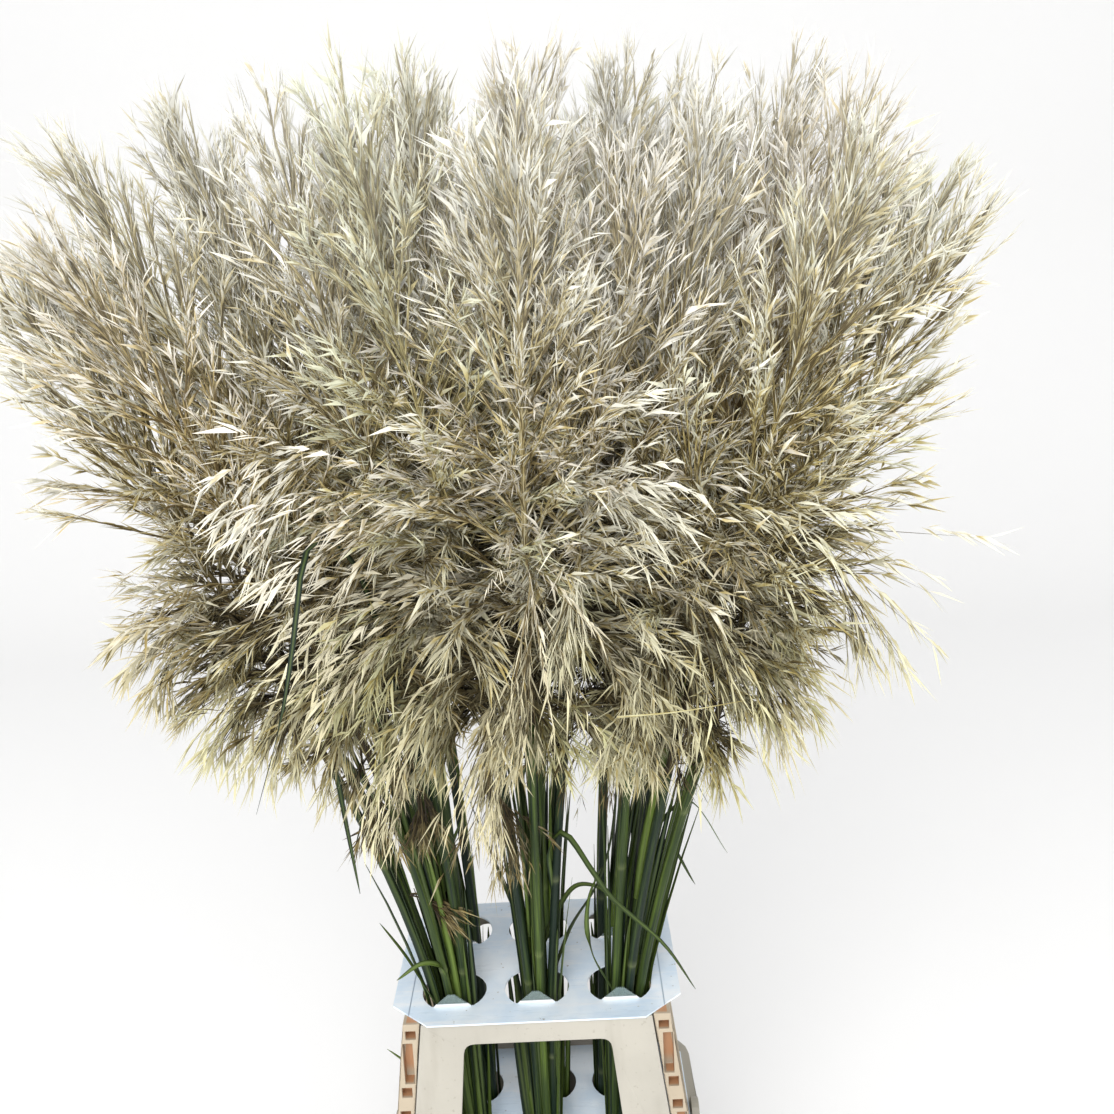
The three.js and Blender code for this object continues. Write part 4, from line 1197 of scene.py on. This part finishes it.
class PAMPAS_OT_leaves(bpy.types.Operator):
    """Builds the long narrow leaves."""

    bl_idname = "pampas.leaves"
    bl_label = "Long leaves"

    def execute(self, context):
        settings = context.scene.pampas_stems
        usual, thick = settings.leaf_width / MM, settings.leaf_thickness / MM
        material = stem_material(settings, "green_leaf", leaf=True)
        for b, (name, *_) in enumerate(BUNCHES):
            surfaces = []
            rng = np.random.default_rng(LEAF_SEED + b)
            for number, (path, middle) in enumerate(sheath_paths(b, rng)):
                width = usual * rng.uniform(0.9, 1.8)
                seed = BLADE_SEED + b * 50 + number
                surfaces.append(leaf_surface(path, width, BLADE_THICKNESS, seed, middle))
            for number, (bunch, stem, root, points) in enumerate(LEAVES):
                if bunch == b:
                    foot = PLANTS[b * STEMS_A_BUNCH + stem].at(root)
                    path = smooth_path(np.vstack([foot[None], np.array(points)]), 30)
                    width = usual * (BROADER if root < BROAD_BELOW else 1)
                    surfaces.append(leaf_surface(path, width, thick, number))
            green_piece(f"long_leaves_{name}", surfaces, material)
        return {"FINISHED"}


def finish_node(name, material, edge):
    """A CAD node keeps its shape and gets rounded edges and a better material."""
    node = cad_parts[name]
    weld = node.modifiers.new("weld", "WELD")
    weld.merge_threshold = 1e-5
    if edge > 0:
        bevel = node.modifiers.new("rounded_edges", "BEVEL")
        bevel.width = edge
        bevel.segments = 2
        bevel.limit_method = "ANGLE"
        bevel.angle_limit = math.radians(40)
        bevel.use_clamp_overlap = False
        bevel.harden_normals = False
    for place in node.material_slots:
        place.material = material


class PAMPAS_OT_collar(bpy.types.Operator):
    """Finishes the collar's four panels."""

    bl_idname = "pampas.collar"
    bl_label = "Collar"

    def execute(self, context):
        settings = context.scene.pampas_holder
        face = plastic_material(settings, "collar_face_plastic", painted_inner_shade=True)
        side = plastic_material(settings, "collar_side_plastic", tone=(1.04, 0.92, 0.78), pockets=True)
        for name in ("collar_front", "collar_back"):
            finish_node(name, face, settings.edge)
        for name in ("collar_left", "collar_right"):
            finish_node(name, side, settings.edge)
        return {"FINISHED"}


class PAMPAS_OT_sheets(bpy.types.Operator):
    """Finishes the two sheets."""

    bl_idname = "pampas.sheets"
    bl_label = "Sheets with holes"

    def execute(self, context):
        settings = context.scene.pampas_holder
        finish_node("upper_sheet", sheet_material(settings, "upper_sheet_plastic"), 0.0)
        finish_node("lower_sheet", sheet_material(settings, "lower_sheet_plastic", False), 0.0)
        return {"FINISHED"}


class PAMPAS_OT_tub(bpy.types.Operator):
    """Finishes the tub and its water."""

    bl_idname = "pampas.tub"
    bl_label = "Tub and water"

    def execute(self, context):
        settings = context.scene.pampas_holder
        plastic = plastic_material(settings, "tub_plastic", tone=(0.96, 0.95, 0.92))
        finish_node("tub", plastic, settings.edge)
        finish_node("water", water_material(), 0.0)
        return {"FINISHED"}


def add_key_light(power):
    """A large round soft light in front, high on the left."""
    light = bpy.data.lights.new("key_light", "AREA")
    light.shape = "DISK"
    light.size = KEY_WIDTH
    light.energy = power
    light.color = KEY_COLOUR
    lamp = bpy.data.objects.new("key_light", light)
    lamp.location = KEY_AT
    lamp.rotation_euler = (Vector(KEY_TO) - Vector(KEY_AT)).to_track_quat("-Z", "Y").to_euler()
    bpy.context.scene.collection.objects.link(lamp)


def add_camera():
    """A camera that looks along its yaw, downwards by its pitch, and rolled about that."""
    yaw, down, roll = (math.radians(a) for a in (CAMERA_YAW, CAMERA_DOWN, CAMERA_ROLL))
    ahead = Vector((math.sin(yaw) * math.cos(down), math.cos(yaw) * math.cos(down), -math.sin(down)))
    right = Vector((math.cos(yaw), -math.sin(yaw), 0))
    up = right.cross(ahead)
    turned_right = math.cos(roll) * right + math.sin(roll) * up
    turned_up = -math.sin(roll) * right + math.cos(roll) * up
    data = bpy.data.cameras.new("photo_camera")
    data.sensor_width = 36
    data.lens = CAMERA_LENS
    data.clip_end = 50
    camera = bpy.data.objects.new("photo_camera", data)
    bpy.context.scene.collection.objects.link(camera)
    turn = Matrix((turned_right, turned_up, -ahead)).transposed().to_4x4()
    camera.matrix_world = Matrix.Translation(CAMERA_AT) @ turn
    bpy.context.scene.camera = camera


def add_floor(colour):
    """A floor that bends up into a wall behind by a quarter of a circle."""
    turn = np.linspace(0, math.pi / 2, 13)
    radius, back, wide, high = 1.6, 2.6, 9.0, 7.0
    y = np.concatenate([[-8.0], back + radius * np.sin(turn), [back + radius]])
    z = np.concatenate([[0.0], radius - radius * np.cos(turn), [high]])
    rows = len(y)
    points = np.stack([np.tile([-wide, wide], rows), np.repeat(y, 2), np.repeat(z, 2)], axis=1)
    a = np.arange(rows - 1) * 2
    faces = np.stack([a, a + 1, a + 3, a + 2], axis=1)
    mesh = bpy.data.meshes.new("stage_floor")
    mesh.from_pydata(points.tolist(), [], faces.tolist())
    mesh.polygons.foreach_set("use_smooth", np.full(len(faces), True))
    mesh.materials.append(floor_material(colour))
    floor = bpy.data.objects.new("stage_floor", mesh)
    bpy.context.scene.collection.objects.link(floor)


class PAMPAS_OT_stage(bpy.types.Operator):
    """Adds the floor, the soft light and the camera."""

    bl_idname = "pampas.stage"
    bl_label = "Stage"

    def execute(self, context):
        settings = context.scene.pampas_stage
        add_floor(settings.floor_colour)
        world = bpy.data.worlds.new("soft_studio")
        world.use_nodes = True
        sky = world.node_tree.nodes["Background"]
        sky.inputs["Color"].default_value = (1.0, 1.0, 1.0, 1.0)
        sky.inputs["Strength"].default_value = settings.sky_strength
        context.scene.world = world
        context.scene.view_settings.view_transform = "Standard"
        context.scene.cycles.max_bounces = 5
        context.scene.cycles.diffuse_bounces = 1
        add_key_light(settings.key_power)
        add_camera()
        return {"FINISHED"}


class PAMPAS_PT_panel(bpy.types.Panel):
    """Lists the pieces and their settings."""

    bl_label = "Pampas grass"
    bl_idname = "PAMPAS_PT_panel"
    bl_space_type = "VIEW_3D"
    bl_region_type = "UI"
    bl_category = "Pampas"

    def draw(self, context):
        for operator in OPERATORS:
            self.layout.operator(operator.bl_idname)
        for name in SETTINGS:
            group = getattr(context.scene, name)
            box = self.layout.box()
            for key in group.__annotations__:
                box.prop(group, key)


OPERATORS = [
    PAMPAS_OT_plumes,
    PAMPAS_OT_stems,
    PAMPAS_OT_leaves,
    PAMPAS_OT_collar,
    PAMPAS_OT_sheets,
    PAMPAS_OT_tub,
    PAMPAS_OT_stage,
]
SETTINGS = {
    "pampas_plumes": PampasPlumeSettings,
    "pampas_stems": PampasStemSettings,
    "pampas_holder": PampasHolderSettings,
    "pampas_stage": PampasStageSettings,
}


def register():
    """Registers the classes and the settings."""
    for made in (*SETTINGS.values(), *OPERATORS, PAMPAS_PT_panel):
        bpy.utils.register_class(made)
    for name, group in SETTINGS.items():
        setattr(bpy.types.Scene, name, PointerProperty(type=group))


def unregister():
    """Takes the settings and the classes out again."""
    for name in SETTINGS:
        delattr(bpy.types.Scene, name)
    for made in (PAMPAS_PT_panel, *reversed(OPERATORS), *reversed(list(SETTINGS.values()))):
        bpy.utils.unregister_class(made)


def main():
    """Builds every piece."""
    register()
    for operator in OPERATORS:
        group, name = operator.bl_idname.split(".")
        getattr(getattr(bpy.ops, group), name)()


if __name__ == "__main__":
    main()
